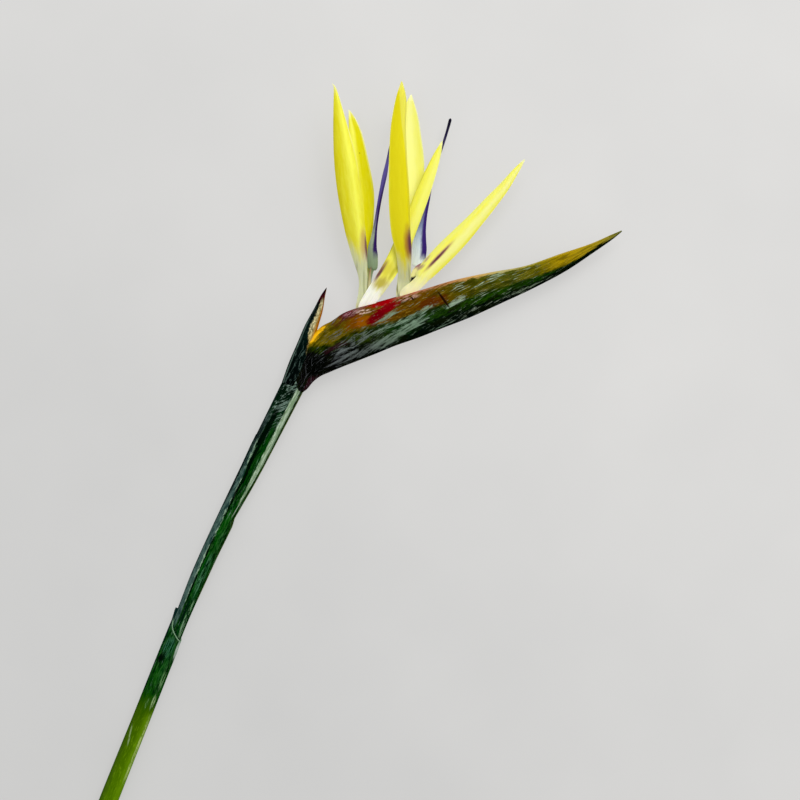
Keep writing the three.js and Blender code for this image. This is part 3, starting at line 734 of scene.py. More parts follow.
def neck_bract():
    fine = smooth_through(BRACT_LINE, BRACT_ROWS)
    slope = np.gradient(fine[:, :2], axis=0)
    slope /= np.linalg.norm(slope, axis=1, keepdims=True)
    shares = along_line(fine[:, :2])
    shares /= shares[-1]
    rings, marks = [], []
    for (x, y, depth, half), share, ahead in zip(fine, shares, slope):
        right = np.array([ahead[1], -ahead[0], 0])
        middle = np.array([x, y, NECK_AXIS_Z + BRACT_CLIMB * share])
        angles = np.linspace(math.pi / 2, -math.pi / 2, BRACT_AROUND)
        shortened = (1 - BRACT_NEAR_SHARE) * ease(share, *BRACT_NEAR_SHORTENS)
        reach = np.where(angles > 0, 1 - shortened, 1.0)
        shrink = min(1, depth / BRACT_THINS)

        def face(inset):
            across = (depth - (depth - inset) * np.cos(angles)) * reach
            upward = (half - inset) * np.sin(angles)
            return middle + across[:, None] * right + upward[:, None] * np.array([0, 0, 1])

        thin = BRACT_MARGIN_WALL_SHARE + (1 - BRACT_MARGIN_WALL_SHARE) * np.cos(angles)
        thin = BRACT_WALL * shrink * thin
        outside, inside = face(0), face(np.minimum(thin, BRACT_WALL_MOST * half))
        rings.append(np.vstack([outside, inside[::-1]]))
        turn = angles / (math.pi / 2)
        marks.append(np.vstack([side_by_side(turn, 0, share), side_by_side(turn, 1, share)[::-1]]))
    return skinned("neck_bract", rings, {"leaf": marks})


def bract_skin():
    material, palette = finish_of("bract skin")
    turn, inner, share = palette.parts(palette.marks("leaf"))
    place = palette.joined(palette.times(turn, 6.0), 0.0, palette.times(share, BRACT_LENGTH))
    fibre = palette.group("growth lines", place=place, fineness=1.8)["Value"]
    speck = palette.noise(palette.stretched(place, (1.6, 1, 0.5)), 1.0, 4.0, 0.7)
    torn = palette.less(speck, 0.5)
    colour = palette.ramp(palette.scaled(torn, 0.12, share), [
        (0.0, (3, 5, 5)), (0.3, (3, 12, 10)), (0.5, (5, 24, 20)), (0.76, (3, 12, 9)), (0.84, (5, 3, 5)),
        (0.9, (72, 10, 18)), (0.95, (30, 4, 14)), (1.0, (10, 2, 8)),
    ])
    colour = palette.paint(colour, (0, 4, 3), palette.rise(speck, 0.56, 0.42), 0.6)
    # Fine grey green lines along the outer side of the back are a painted highlight.
    bract_highlight_line = palette.both(
        palette.band(turn, 0.25, 0.36, 0.05), palette.rise(fibre, 0.4, 0.56), palette.rise(share, 0.86, 0.7),
    )
    colour = palette.paint(colour, (104, 128, 116), bract_highlight_line, 0.8)
    streak = palette.group("wax bloom", place=place, coverage=0.32, grain=1.8)["Mask"]
    colour = palette.paint(colour, (76, 98, 90), streak, palette.rise(share, 0.84, 0.7), 0.6)
    narrow = palette.times(palette.rise(share, 0.58, 0.38), 0.3)
    margin = palette.less(palette.scaled(torn, 0.4, turn), narrow)
    outer_face = palette.rise(inner, 0.95, 0.2)
    margin = palette.both(palette.rise(margin, 0.6, 0.76), palette.band(share, 0.36, 0.87, 0.04), outer_face)
    cream = palette.mix(palette.rise(speck, 0.4, 0.62), (116, 110, 74), (224, 212, 160))
    cream = palette.mix(palette.rise(share, 0.58, 0.44), cream, (196, 170, 92))
    colour = palette.mix(margin, colour, cream)
    hem = palette.both(
        palette.rise(palette.scaled(torn, 0.12, turn), 0.86, 0.94), palette.band(share, 0.4, 0.8, 0.04),
    )
    colour = palette.paint(colour, (150, 110, 34), hem, outer_face, 0.8)
    warm = palette.ramp(palette.scaled(torn, 0.15, share), [
        (0.3, (246, 200, 40)), (0.48, (255, 190, 24)), (0.6, (214, 140, 8)), (0.85, (160, 96, 12)),
    ])
    colour = palette.mix(palette.rise(inner, 0.3, 0.8), colour, warm)
    roughness = palette.scaled(fibre, 0.2, 0.34)
    return finished(material, palette, colour, roughness, gloss=0.0, relief=palette.bump(fibre, 0.5))


bract = neck_bract()
bract.data.materials.append(bract_skin())
belongs(bract, "neck_bract")

# The spathe.
# A stiff folded leaf, shaped like a boat with a long beak. The florets stand out of the slit along its upper
# edge. Its flanks go from black green at the keel through olive to a red rim, with grey wax. Further out the
# rim carries a painted pink tan highlight, and pink and white streaks below it are painted highlights.
SPATHE_LINE = [
    (-48.1, -27.6, -38.7, -32.3, 5.2, 6.9), (-45.75, -23.25, -36.2, -30.25, 5.3, 6.95),
    (-42.75, -17, -33.5, -27, 5.6, 7.0), (-39.25, -11, -30, -24.25, 6.2, 7.15),
    (-35.25, -5.5, -25, -22, 6.9, 7.35), (-29.5, 0.5, -19, -19.5, 7.5, 7.55),
    (-24, 3.5, -13, -17.15, 7.85, 7.7), (-18.5, 7.25, -7.5, -15, 8.0, 7.7),
    (-12, 9.75, -1.5, -12.65, 8.05, 7.7), (-2.5, 12.25, 8, -8.75, 8.05, 7.7),
    (10, 15.75, 19.5, -4.75, 8.0, 7.7), (22.5, 19.5, 31.5, 0, 7.75, 7.7),
    (37.5, 24, 45, 5.25, 7.1, 7.7), (55, 27.75, 61.5, 12.75, 5.9, 7.8),
    (72.5, 31, 77, 20, 4.6, 7.9), (90, 37, 93, 28.5, 3.2, 8.1),
    (105, 42, 106.5, 37.5, 1.9, 8.3), (115, 46.35, 115.5, 43.75, 1.0, 8.5),
    (120.7, 48.75, 121, 48.2, 0.4, 8.6),
]
SPATHE_WIDEST = 0.42
# The slit: station of the spathe, half its width, its depth, and the half width of the rim as a share.
SLIT_LINE = [
    (5.5, 0.12, 0.4, 0.5), (6.8, 0.3, 1.2, 0.52), (7.6, 2.8, 8, 0.56), (8.4, 3.4, 13, 0.56),
    (10.7, 3.4, 13, 0.56), (11.4, 2.4, 8, 0.5), (12.2, 0.9, 3, 0.36), (13.5, 0.5, 1.6, 0.34),
    (15.5, 0.3, 1, 0.4), (16.8, 0.1, 0.3, 0.5),
]
SPATHE_ROWS = 300
FLANK_POINTS = 26
# Above 1, a flank's points lie closer together towards the rim.
FLANK_POINT_SPREAD = 1.15
# How full the flanks bulge between keel and rim: 2 is an ellipse.
FLANK_FULLNESS = 2.2
WALL_POINTS = 8
# The slit's walls start at this share of their depth below the rim. On the finish's level, where the rim is
# at 1, the floor between them lies lower by the second number.
WALL_TOP = 0.04
WALL_LEVEL = 0.2
# The slit takes at most these shares of the spathe's height and of its half width at the rim.
SLIT_DEEPEST = 0.55
SLIT_WIDEST = 0.7
# Where the slit is closed, it is only a line of this half width and depth.
CLOSED_SLIT = (0.02, 0.05)
# The finish is laid out on a flat flank of this length, and of this height from keel to rim.
SPATHE_LENGTH = 185
FLANK_HEIGHT = 20
# Between the florets the far lip stands a little above the near one and shows its red inner side.
FAR_LIP_RISE = 0.5
FAR_LIP_FROM = (7.9, 8.6)
FAR_LIP_TO = (10.1, 10.9)
FAR_LIP_LEVELS = (0.85, 1.0)


def spathe_rings():
    """The spathe's rings. Each point is marked with its level from keel to rim, its distance from the base,
    and its round, which is the level once more, but below zero on the far flank."""
    rows = smooth_through(SPATHE_LINE, SPATHE_ROWS)
    slit = np.array(SLIT_LINE)
    rings, marks, rounds = [], [], []
    last = len(SPATHE_LINE) - 1
    distances = along_line((rows[:, :2] + rows[:, 2:4]) / 2)
    for i, row in enumerate(rows):
        station = last * i / (SPATHE_ROWS - 1)
        rim = np.array([row[0], row[1], row[5]])
        keel = np.array([row[2], row[3], row[5]])
        half = row[4]
        inside = slit[0, 0] < station < slit[-1, 0]
        gap, depth = (np.interp(station, slit[:, 0], slit[:, k]) for k in (1, 2)) if inside else CLOSED_SLIT
        rim_share = np.interp(station, slit[:, 0], slit[:, 3])
        depth = min(depth, SLIT_DEEPEST * np.linalg.norm(rim - keel))
        gap = min(gap, SLIT_WIDEST * rim_share * half)
        down = (keel - rim) / np.linalg.norm(keel - rim)
        level = 1 - np.linspace(0, 1, FLANK_POINTS) ** FLANK_POINT_SPREAD
        under = level < SPATHE_WIDEST
        below = np.clip(SPATHE_WIDEST - level, 0, None) / SPATHE_WIDEST
        low = np.sqrt(1 - below**FLANK_FULLNESS)
        over = np.clip(level - SPATHE_WIDEST, 0, None) / (1 - SPATHE_WIDEST)
        high = rim_share + (1 - rim_share) * np.sqrt(1 - over**FLANK_FULLNESS)
        width = np.where(under, low, high)
        near = keel + level[:, None] * (rim - keel) + (half * width)[:, None] * np.array([0, 0, 1])
        far = keel + level[:, None] * (rim - keel) - (half * width)[:, None] * np.array([0, 0, 1])
        rise = FAR_LIP_RISE * ease(station, *FAR_LIP_FROM) * (1 - ease(station, *FAR_LIP_TO))
        far += -down * (rise * ease(level, *FAR_LIP_LEVELS))[:, None]
        far[:, 2] = np.maximum(far[:, 2], 0)
        sink = np.linspace(WALL_TOP, 1, WALL_POINTS)
        # The walls go straight down, and meet in a rounded floor.
        aside = np.array([0, 0, gap]) * (1 - sink[:, None] ** 6)
        near_wall = rim + down * (depth * sink)[:, None] + aside
        far_top = rim - down * rise
        far_wall = far_top + down * ((depth + rise) * sink)[:, None] - aside
        rings.append(np.vstack([near, far[::-1][1:], far_wall, near_wall[::-1][1:]]))
        flank = side_by_side(level, 0, distances[i] * MM)
        wall_level = 1 - WALL_LEVEL * sink
        wall = side_by_side(wall_level, 1, distances[i] * MM)
        marks.append(np.vstack([flank, flank[::-1][1:], wall, wall[::-1][1:]]))
        rounds.append(np.concatenate([level, -level[::-1][1:], -wall_level, wall_level[::-1][1:]]))
    return rings, marks, rounds


def spathe_skin():
    material, palette = finish_of("spathe skin")
    level, inner, along = palette.parts(palette.marks("leaf"))
    far_out = palette.times(along, PER_METRE)
    up = palette.times(level, FLANK_HEIGHT)
    # The strokes run along the keel at the base, and climb towards the rim further out.
    climb = palette.times(palette.larger(palette.less(far_out, 38.0), 0.0), -0.11)
    round_keel = palette.times(palette.marks("round", "Fac"), FLANK_HEIGHT)
    tilted = palette.plus(palette.scaled(far_out, -0.05, round_keel), climb)
    place = palette.joined(tilted, 0.0, far_out)
    flat = palette.joined(far_out, up)
    fibre = palette.group("growth lines", place=place, fineness=1.5)["Value"]
    cloud = palette.noise(palette.stretched(place, (0.35, 1, 0.09)), 1.0, 4.0, 0.6)
    ragged = palette.noise(palette.stretched(place, (1.3, 1, 0.25), (3, 0, 9)), 1.0, 4.0, 0.7)
    torn = palette.less(ragged, 0.5)
    shift = palette.scaled(palette.less(cloud, 0.5), 0.5, palette.times(torn, 0.3))
    height = palette.plus(level, shift)
    share = palette.maths("DIVIDE", far_out, SPATHE_LENGTH)

    # Three zones lie over each other: black at the keel, green, and olive to gold below the rim.
    black = palette.mix(palette.rise(share, 0.1, 0.35), (6, 3, 6), (0, 9, 5))
    green = palette.ramp(share, [
        (0.12, (40, 56, 0)), (0.24, (46, 60, 2)), (0.34, (18, 60, 22)), (0.45, (28, 58, 8)),
        (0.6, (30, 66, 0)), (0.78, (18, 58, 0)), (0.94, (44, 58, 6)),
    ])
    green = palette.mix(palette.rise(ragged, 0.54, 0.4), green, (2, 22, 2))
    olive = palette.ramp(palette.scaled(torn, 0.06, share), [
        (0.14, (96, 84, 0)), (0.22, (80, 66, 0)), (0.33, (98, 60, 0)), (0.45, (92, 60, 0)),
        (0.52, (74, 66, 0)), (0.58, (68, 70, 4)), (0.68, (70, 76, 14)), (0.75, (104, 98, 4)),
        (0.82, (164, 136, 4)), (0.92, (158, 136, 20)), (1.0, (112, 118, 50)),
    ])
    black_top = palette.ramp(share, [
        (0.0, 1.0), (0.08, 0.95), (0.12, 0.5), (0.18, 0.45), (0.26, 0.2),
        (0.33, 0.08), (0.4, 0.26), (0.52, 0.27), (0.66, 0.2), (0.88, 0.26),
        (0.93, 0.42), (0.97, 0.2), (1.0, 0.1),
    ])
    green_top = palette.ramp(share, [
        (0.1, 0.85), (0.15, 0.56), (0.3, 0.52), (0.5, 0.5), (0.6, 0.44),
        (0.74, 0.42), (0.82, 0.3), (1.0, 0.2),
    ])
    colour = palette.mix(palette.rise(palette.less(height, black_top), -0.05, 0.08), black, green)
    over = palette.rise(palette.less(palette.scaled(shift, -0.45, height), green_top), -0.05, 0.09)
    over = palette.both(over, palette.rise(palette.less(height, black_top), -0.03, 0.06))
    colour = palette.mix(over, colour, olive)
    for shade, *masks in (
        ((14, 26, 2), palette.rise(fibre, 0.5, 0.4), palette.rise(level, 1.0, 0.5), 0.6),
        ((170, 146, 50), palette.rise(ragged, 0.5, 0.66), over, 0.36),
        ((16, 22, 0), palette.rise(cloud, 0.54, 0.42), palette.rise(level, 0.97, 0.85), 0.5),
    ):
        colour = palette.paint(colour, shade, *masks)

    # Coloured patches, most of them on the shoulder where the florets stand. Each has a middle and a reach in
    # millimetres, a turn, a colour and a strength.
    patch_torn = palette.scaled(palette.less(cloud, 0.5), 2.0, palette.times(torn, 1.5))
    for middle, reach, turn, shade, amount in (
        ((16, 7.5), (9.5, 7.5), 0, (2, 3, 2), 0.9),
        ((23, 20.2), (7.5, 3.4), 0, (252, 190, 20), 1.0),
        ((45, 15), (9.5, 3.4), 4, (112, 58, 0), 0.8),
        ((48.5, 14), (5, 2.6), 10, (150, 84, 0), 0.6),
        ((41, 18.6), (7.5, 2.6), 0, (74, 12, 20), 0.9),
        ((84, 13.2), (11, 2.6), -4, (88, 36, 2), 0.75),
        ((31, 9.2), (8, 1.6), 0, (40, 8, 22), 0.8),
        ((58, 15.2), (9.5, 2.7), 22, (100, 0, 8), 1.0),
        ((63, 17.4), (6.5, 2.8), 14, (118, 0, 10), 0.95),
        ((61, 19.1), (7.5, 1.5), 2, (148, 0, 6), 1.0),
        ((79, 20.0), (3, 0.9), 0, (170, 14, 14), 0.9),
        ((8, 1.5), (7, 2.5), 0, (62, 20, 34), 0.5),
    ):
        patch = palette.oval(flat, middle, reach, turn, torn=patch_torn)
        colour = palette.paint(colour, shade, patch, amount)

    # A line along the rim: the rim's own gold and red towards the base, and further out a painted highlight
    # in pink tan and gold.
    rim = palette.ramp(share, [
        (0.13, (240, 176, 20)), (0.18, (112, 86, 0)), (0.22, (80, 14, 18)), (0.29, (130, 6, 14)),
        (0.35, (150, 4, 12)), (0.38, (166, 104, 84)), (0.52, (186, 128, 84)), (0.58, (212, 164, 92)),
        (0.66, (190, 178, 112)), (0.76, (176, 160, 56)), (0.9, (184, 154, 50)), (1.0, (128, 130, 66)),
    ])
    broad = palette.scaled(palette.band(share, 0.52, 0.7, 0.04), 0.025, level)
    edge = palette.rise(palette.scaled(torn, 0.25, broad), 0.925, 0.985)
    colour = palette.paint(colour, rim, edge, 0.8)

    # Wax lies where the leaf was folded in the bud. Each patch has a middle, a reach, a turn and a strength.
    coverage = palette.times(palette.band(share, 0.04, 0.8, 0.04), 0.12)
    for middle, reach, turn, amount in (
        ((38, 7.4), (24, 3.6), 6, 0.6),
        ((36, 2.6), (28, 3.6), 0, 0.55),
        ((53, 3.1), (14, 3.9), 2, 0.86),
        ((67, 5.6), (25, 3.6), 11, 0.7),
        ((54, 8), (15, 3), 12, 0.54),
        ((73, 9.8), (20, 2.6), 11, 0.58),
        ((57, 12), (14, 3), 10, 0.48),
        ((33, 13.6), (13, 2.6), 8, 0.45),
        ((95, 9.9), (12, 2.2), 10, 0.66),
        ((110, 9.6), (14, 4), 20, 0.28),
        ((118, 16.6), (9, 2.8), 18, 0.68),
        ((99, 16.2), (8, 2.2), 14, 0.5),
        ((128, 14), (16, 5), 14, 0.26),
        ((128, 2.4), (26, 1.8), 0, 0.56),
        ((92, 2), (28, 2.4), 3, 0.4),
    ):
        oval = palette.oval(flat, middle, reach, turn, soft=0.8)
        coverage = palette.larger(palette.both(oval, amount), coverage)
    beak = palette.rise(far_out, 82, 96)
    coarse_coverage = palette.both(coverage, palette.scaled(beak, -0.4, 1.0))
    coarse = palette.group("wax bloom", place=place, coverage=coarse_coverage, grain=1.0)["Mask"]
    thin_coverage = palette.both(coverage, palette.scaled(beak, 0.15, 0.85))
    thin = palette.group("wax bloom", place=place, coverage=thin_coverage, grain=2.3)["Mask"]
    bloom = palette.larger(coarse, palette.times(thin, 0.75))
    # At the base the wax lies in short steep dashes, as on the neck.
    steep = palette.joined(
        palette.scaled(far_out, -0.8, palette.times(round_keel, 0.6)),
        4.0,
        palette.scaled(far_out, 0.6, palette.times(round_keel, 0.8)),
    )
    dashes = palette.group("wax bloom", place=steep, coverage=0.16, grain=1.7)["Mask"]
    bloom = palette.larger(bloom, palette.both(dashes, palette.rise(far_out, 20, 12), 0.9))
    grey = palette.ramp(share, [(0.08, (104, 108, 112)), (0.24, (104, 114, 108)), (0.34, (124, 148, 124)),
                                (0.45, (126, 153, 129)), (0.55, (172, 190, 164)), (0.8, (140, 162, 130))])
    colour = palette.paint(colour, grey, bloom, palette.scaled(ragged, 1.8, -0.1, clamp=True))
    # Pale pink and white streaks just below the rim are painted highlights, as on wet skin.
    wet_highlight = palette.both(
        palette.oval(flat, (50.5, 17.8), (7, 1.2), -6, torn=patch_torn), palette.rise(ragged, 0.44, 0.58),
    )
    colour = palette.paint(colour, (226, 196, 178), wet_highlight, 0.85)
    for middle, reach, shade in (
        ((45, 18.6), (6, 1.4), (176, 130, 140)), ((73.5, 18.2), (8, 1.5), (188, 152, 140)),
    ):
        pink_highlight = palette.both(
            palette.oval(flat, middle, reach, -3, torn=torn), palette.rise(ragged, 0.46, 0.56),
        )
        colour = palette.paint(colour, shade, pink_highlight, 0.7)
    for middle, reach, turn, shade in (
        ((89.4, 12.2), (0.8, 6.2), 13, (30, 12, 4)), ((75.4, 17.4), (0.6, 1.1), 20, (30, 14, 8)),
    ):
        scratch = palette.oval(flat, middle, reach, turn)
        colour = palette.mix(scratch, colour, shade)
    flesh = palette.mix(palette.rise(share, 0.44, 0.6), (180, 2, 8), (150, 104, 48))
    colour = palette.mix(inner, colour, flesh)

    roughness = palette.scaled(bloom, 0.25, palette.scaled(fibre, 0.16, 0.3))
    relief = palette.bump(palette.scaled(bloom, 0.4, fibre), 0.5, 0.00025)
    return finished(material, palette, colour, roughness, gloss=0.0, relief=relief)


spathe_points, spathe_marks, spathe_rounds = spathe_rings()
spathe = skinned("spathe", spathe_points, {"leaf": spathe_marks, "round": spathe_rounds})
spathe.data.materials.append(spathe_skin())
belongs(spathe, "spathe")

# The ovaries.
# One juicy, three-sided ovary for each floret, pale green. It stands upright on the floor of the slit, where
# the claws of the sepals and petals that grow on it hide it.
OVARY_FORM = [(0, 0.4), (0.4, 1.2), (1.6, 1.6), (4, 2.6), (6.5, 2.9), (7.9, 2.6), (8.3, 1.4), (8.4, 0.2)]
OVARY_DEPTH = 12.3
RIM_SLOPE = math.radians(25)
SPATHE_MIDDLE_Z = 7.7
FLORET_RIMS = {1: (-9.5, 10.35), 2: (11.2, 16.15)}


def ovary_skin():
    material, palette = finish_of("ovary skin")
    skin = palette.marks("skin")
    place = palette.enlarged(skin, (3, 3, PER_METRE))
    fibre = palette.group("growth lines", place=place, fineness=1.5)["Value"]
    colour = palette.mix(fibre, (190, 200, 130), (236, 236, 190))
    relief = palette.bump(fibre, 0.3)
    return finished(material, palette, colour, roughness=0.45, gloss=0.5, relief=relief)


ovary_material = ovary_skin()
for number, (rim_x, rim_y) in FLORET_RIMS.items():
    base = np.array([rim_x + OVARY_DEPTH * math.sin(RIM_SLOPE), rim_y - OVARY_DEPTH * math.cos(RIM_SLOPE),
                     SPATHE_MIDDLE_Z])
    form = smooth_through(OVARY_FORM, 40)
    upright = np.array([-math.sin(RIM_SLOPE), math.cos(RIM_SLOPE), 0])
    ovary = grown_tube(
        f"ovary_{number}", base + form[:, :1] * upright, form[:, 1], stem_tree,
        sides=36, ribs=3, rib_height=0.00012, seed=number, skin=ovary_material,
    )
    belongs(ovary, f"ovary_{number}")

# The sepals.
# Three long, keeled, boat-shaped sepals in each floret, waxy and bright yellow with faint lengthwise veins.
# They grow from narrow, nearly white claws in the slit, and some have a purple smear above the claw.
BLADE_ROWS = 150
BLADE_SIDE = 14
CLAW_SHARE = 0.38
SEPALS = {
    "near_1": {
        "crown": 0.5, "ridge": 0.35, "facing": 1,
        "stations": [
            (-9.4, 7.3, 8.2, 1.9), (-10, 10.5, 8.2, 2.1), (-8.7, 18, 8.5, 2.1), (-8.6, 26, 9.2, 2.3),
            (-10.4, 37.5, 11, 4.05), (-12.6, 50, 13.2, 5.2), (-15, 66, 15.9, 5.9), (-16.9, 81, 18.2, 5.8),
            (-19, 95.5, 20.3, 4.3), (-20.9, 109, 22, 2.3), (-22.3, 118.6, 23.1, 0.7),
            (-23.6, 121.4, 23.4, 0.12),
        ],
    },
    "far_1": {
        "crown": 0.32, "ridge": 0, "facing": -1,
        "stations": [
            (-8.6, 8, 4.8, 1.7), (-8, 13, 4.7, 1.8), (-7.2, 20, 4.5, 1.8), (-7, 29, 4.1, 2),
            (-7.8, 40, 3.6, 3.2), (-8.2, 52, 3.1, 4.9), (-9, 68, 3, 6), (-10.8, 83, 2.9, 5.1),
            (-12.2, 96, 2.8, 3.5), (-13.9, 104, 2.9, 1.9), (-15.3, 108.4, 3, 0.5), (-15.7, 109.4, 3, 0.1),
        ],
    },
    "front_1": {
        "crown": 0.3, "ridge": -0.5, "facing": 1,
        "stations": [
            (-9, 8.4, 10.7, 1.6), (-7.6, 10.7, 10.7, 3.2), (-0.9, 20.5, 10.4, 4), (4.1, 28, 9, 4.2),
            (8.2, 35.5, 8.2, 4.25), (11.8, 43.5, 8.1, 4.3), (16.8, 55.5, 8.1, 3.9), (21.4, 67.5, 8.2, 3.6),
            (25.6, 78.5, 8.6, 2.8), (28.6, 86.5, 9, 1.8), (30.6, 92, 9.3, 0.6), (31.2, 93.6, 9.4, 0.1),
        ],
    },
    "near_2": {
        "crown": 0.55, "ridge": 0.72, "facing": 1,
        "stations": [
            (11.3, 13.1, 8.2, 1.9), (10.6, 16.5, 8.2, 2.6), (12, 23, 8.2, 3.4), (12.2, 29.5, 10.3, 3.25),
            (11.8, 38.5, 12.8, 4), (10.4, 48, 14.8, 4.85), (9.7, 61, 17, 5.25), (9.3, 74, 19, 4.95),
            (9, 87, 20.8, 4.4), (9.2, 100, 22.2, 3.8), (10.5, 113, 23.6, 2.8), (10.8, 120.6, 24.2, 0.9),
            (10.8, 122.6, 24.4, 0.1),
        ],
    },
    "far_2": {
        "crown": 0.32, "ridge": 0, "facing": -1,
        "stations": [
            (12.1, 13.8, 4.8, 1.7), (12.6, 19, 4.7, 1.8), (13.5, 27, 4.4, 1.8), (13.7, 38, 3.8, 2),
            (14.6, 52, 3.3, 3.6), (16, 67, 3, 5.6), (16, 83, 3, 6.1), (15.5, 96, 2.9, 5.1),
            (15.3, 105, 2.8, 3.9), (15.2, 112, 2.9, 2.2), (15.5, 115.9, 3, 0.7), (15.6, 117, 3, 0.1),
        ],
    },
    "front_2": {
        "crown": 0.35, "ridge": -0.5, "facing": 1,
        "stations": [
            (11.7, 14.2, 10.5, 1.6), (13, 17, 10.5, 3.1), (17.2, 20.7, 10.6, 3.0),
            (20.35, 23.85, 10.6, 3.1), (23, 28, 10.6, 4.4), (31.8, 37.2, 10.8, 5), (40, 45.5, 11, 4.75),
            (47.8, 54, 11.2, 4), (55, 62.2, 11.5, 3.45), (62.1, 70.5, 12, 2.6), (68, 78.5, 12.6, 1.5),
            (71.5, 83, 12.9, 0.5), (72.2, 84, 13, 0.1),
        ],
    },
}
SEPAL_WALL = 0.95
SEPAL_EDGE = 0.45
# How full a blade's roof is from its keel to its margins: 2 is round, and 1 is straight.
ROOF_FULLNESS = 1.7
# Blades narrower than this half width get thinner, and none is narrower than the second one.
BLADE_THINS = 1.6
BLADE_NARROWEST = 0.08
# Over these half widths the wall turns from straight down to square to the roof.
BLADE_WALL_TURNS = (0.4, 2.4)
# The inner face takes its grain this far beside the outer face's, in millimetres.
INNER_GRAIN = 3


def blade(name, stations, crown, ridge, facing, wall=SEPAL_WALL, edge=SEPAL_EDGE, claw=CLAW_SHARE):
    """A thin keeled blade along its stations: x, y, height of the outer face at the margins, half width."""
    fine = smooth_through(stations, BLADE_ROWS)
    line = fine[:, :3]
    along = along_line(line)
    ahead = np.gradient(line, axis=0)
    ahead /= np.linalg.norm(ahead, axis=1, keepdims=True)
    shares = np.concatenate([
        ridge - (ridge + 1) * np.sin(np.linspace(math.pi / 2, 0, BLADE_SIDE, endpoint=False)),
        ridge + (1 - ridge) * np.sin(np.linspace(0, math.pi / 2, BLADE_SIDE + 1)),
    ])
    reach = np.where(shares < ridge, ridge + 1, 1 - ridge)
    roof = 1 - (np.abs(shares - ridge) / reach) ** ROOF_FULLNESS
    rings, marks, grains = [], [], []
    for i in range(BLADE_ROWS):
        t = i / (BLADE_ROWS - 1)
        right = np.array([ahead[i, 1], -ahead[i, 0], 0])
        right /= np.linalg.norm(right)
        upward = np.cross(right, ahead[i]) * facing
        half = max(fine[i, 3], BLADE_NARROWEST)
        thin = min(1, half / BLADE_THINS)
        outer = np.column_stack([shares * half, crown * half * ease(t, 0, claw) * roof])
        slope = np.gradient(outer, axis=0)
        normal = np.column_stack([-slope[:, 1] * ease(half, *BLADE_WALL_TURNS), slope[:, 0]])
        normal /= np.linalg.norm(normal, axis=1, keepdims=True)
        inner = outer - normal * ((edge + (wall - edge) * roof) * thin)[:, None]
        ring = np.vstack([outer, inner[::-1]])
        rings.append(line[i] + ring[:, :1] * right + ring[:, 1:] * upward)
        face = side_by_side(shares, 0, along[i] / along[-1])
        back = face + np.array([0, 1, 0])
        marks.append(np.vstack([face, back[::-1]]))
        grain = side_by_side(shares * half, 0, along[i])
        grains.append(np.vstack([grain, grain[::-1] + np.array([0, INNER_GRAIN, 0])]) * MM)
    return skinned(name, rings, {"leaf": marks, "grain": grains})


def vein_tree():
    """The tree that raises fine veins on a leaf's faces, side by side along its length."""
    tree, grow, given = growing_tree("veins on a leaf", "Leaf", [
        ("Veins", "Float", 12.0), ("Vein height", "Float", 0.00004), ("Wander", "Float", 1.0),
        ("Seed", "Int", 1),
    ])
    leaf = grow.node("GeometryNodeInputNamedAttribute", {"Name": "leaf"}, data_type="FLOAT_VECTOR").outputs[0]
    across, _, along = grow.parts(leaf)
    waver = grow.times(wavering(grow, given["Seed"], 40.0), given["Wander"])
    phase = grow.scaled(across, given["Veins"], waver)
    wave = grow.maths("SINE", grow.times(phase, 2 * math.pi))
    fade = grow.times(grow.less(1.0, along), grow.rise(along, 0.0, 0.2))
    amount = grow.times(grow.times(wave, fade), given["Vein height"])
    raised_and_coated(grow, given["Leaf"], amount, given["Skin"])
    return tree


# The yellow of a sepal: clouded, with pale watery streaks and a painted highlight band along it, a painted
# highlight on its right margin, and greenish white in the claw.
flesh, flesh_in, flesh_out = effect(
    "sepal flesh",
    [("Leaf", "NodeSocketVector"), ("Grain", "NodeSocketVector"), ("Yellow", "NodeSocketColor"),
     ("Pale", "NodeSocketColor"), ("Light", "NodeSocketFloat"), ("Claw", "NodeSocketColor"),
     ("Claw length", "NodeSocketFloat"), ("Claw fade", "NodeSocketFloat")],
    [("Colour", "NodeSocketColor"), ("Height", "NodeSocketFloat"), ("Torn", "NodeSocketFloat")],
)
flesh_across, _, flesh_along = flesh.parts(flesh_in["Leaf"])
flesh_place = flesh.enlarged(flesh_in["Grain"], PER_METRE)
flesh_fibre = flesh.group("growth lines", place=flesh_place, fineness=1.5)["Value"]
flesh_cloud = flesh.noise(flesh.stretched(flesh_place, (0.45, 1, 0.07)), 1.0, 4.0, 0.6)
flesh_torn = flesh.less(
    flesh.noise(flesh.stretched(flesh_place, (0.9, 1, 0.16), (4, 2, 1)), 1.0, 3.0, 0.6), 0.5,
)
flesh_highlight_and_streaks = flesh.scaled(flesh.less(flesh_fibre, 0.5), 0.5, flesh_in["Light"])
flesh_highlight_and_streaks = flesh.scaled(flesh.less(flesh_cloud, 0.5), 1.1, flesh_highlight_and_streaks)
flesh_highlight_and_streaks = flesh.scaled(flesh_torn, 0.5, flesh_highlight_and_streaks, clamp=True)
flesh_colour = flesh.mix(flesh_highlight_and_streaks, flesh_in["Yellow"], flesh_in["Pale"])
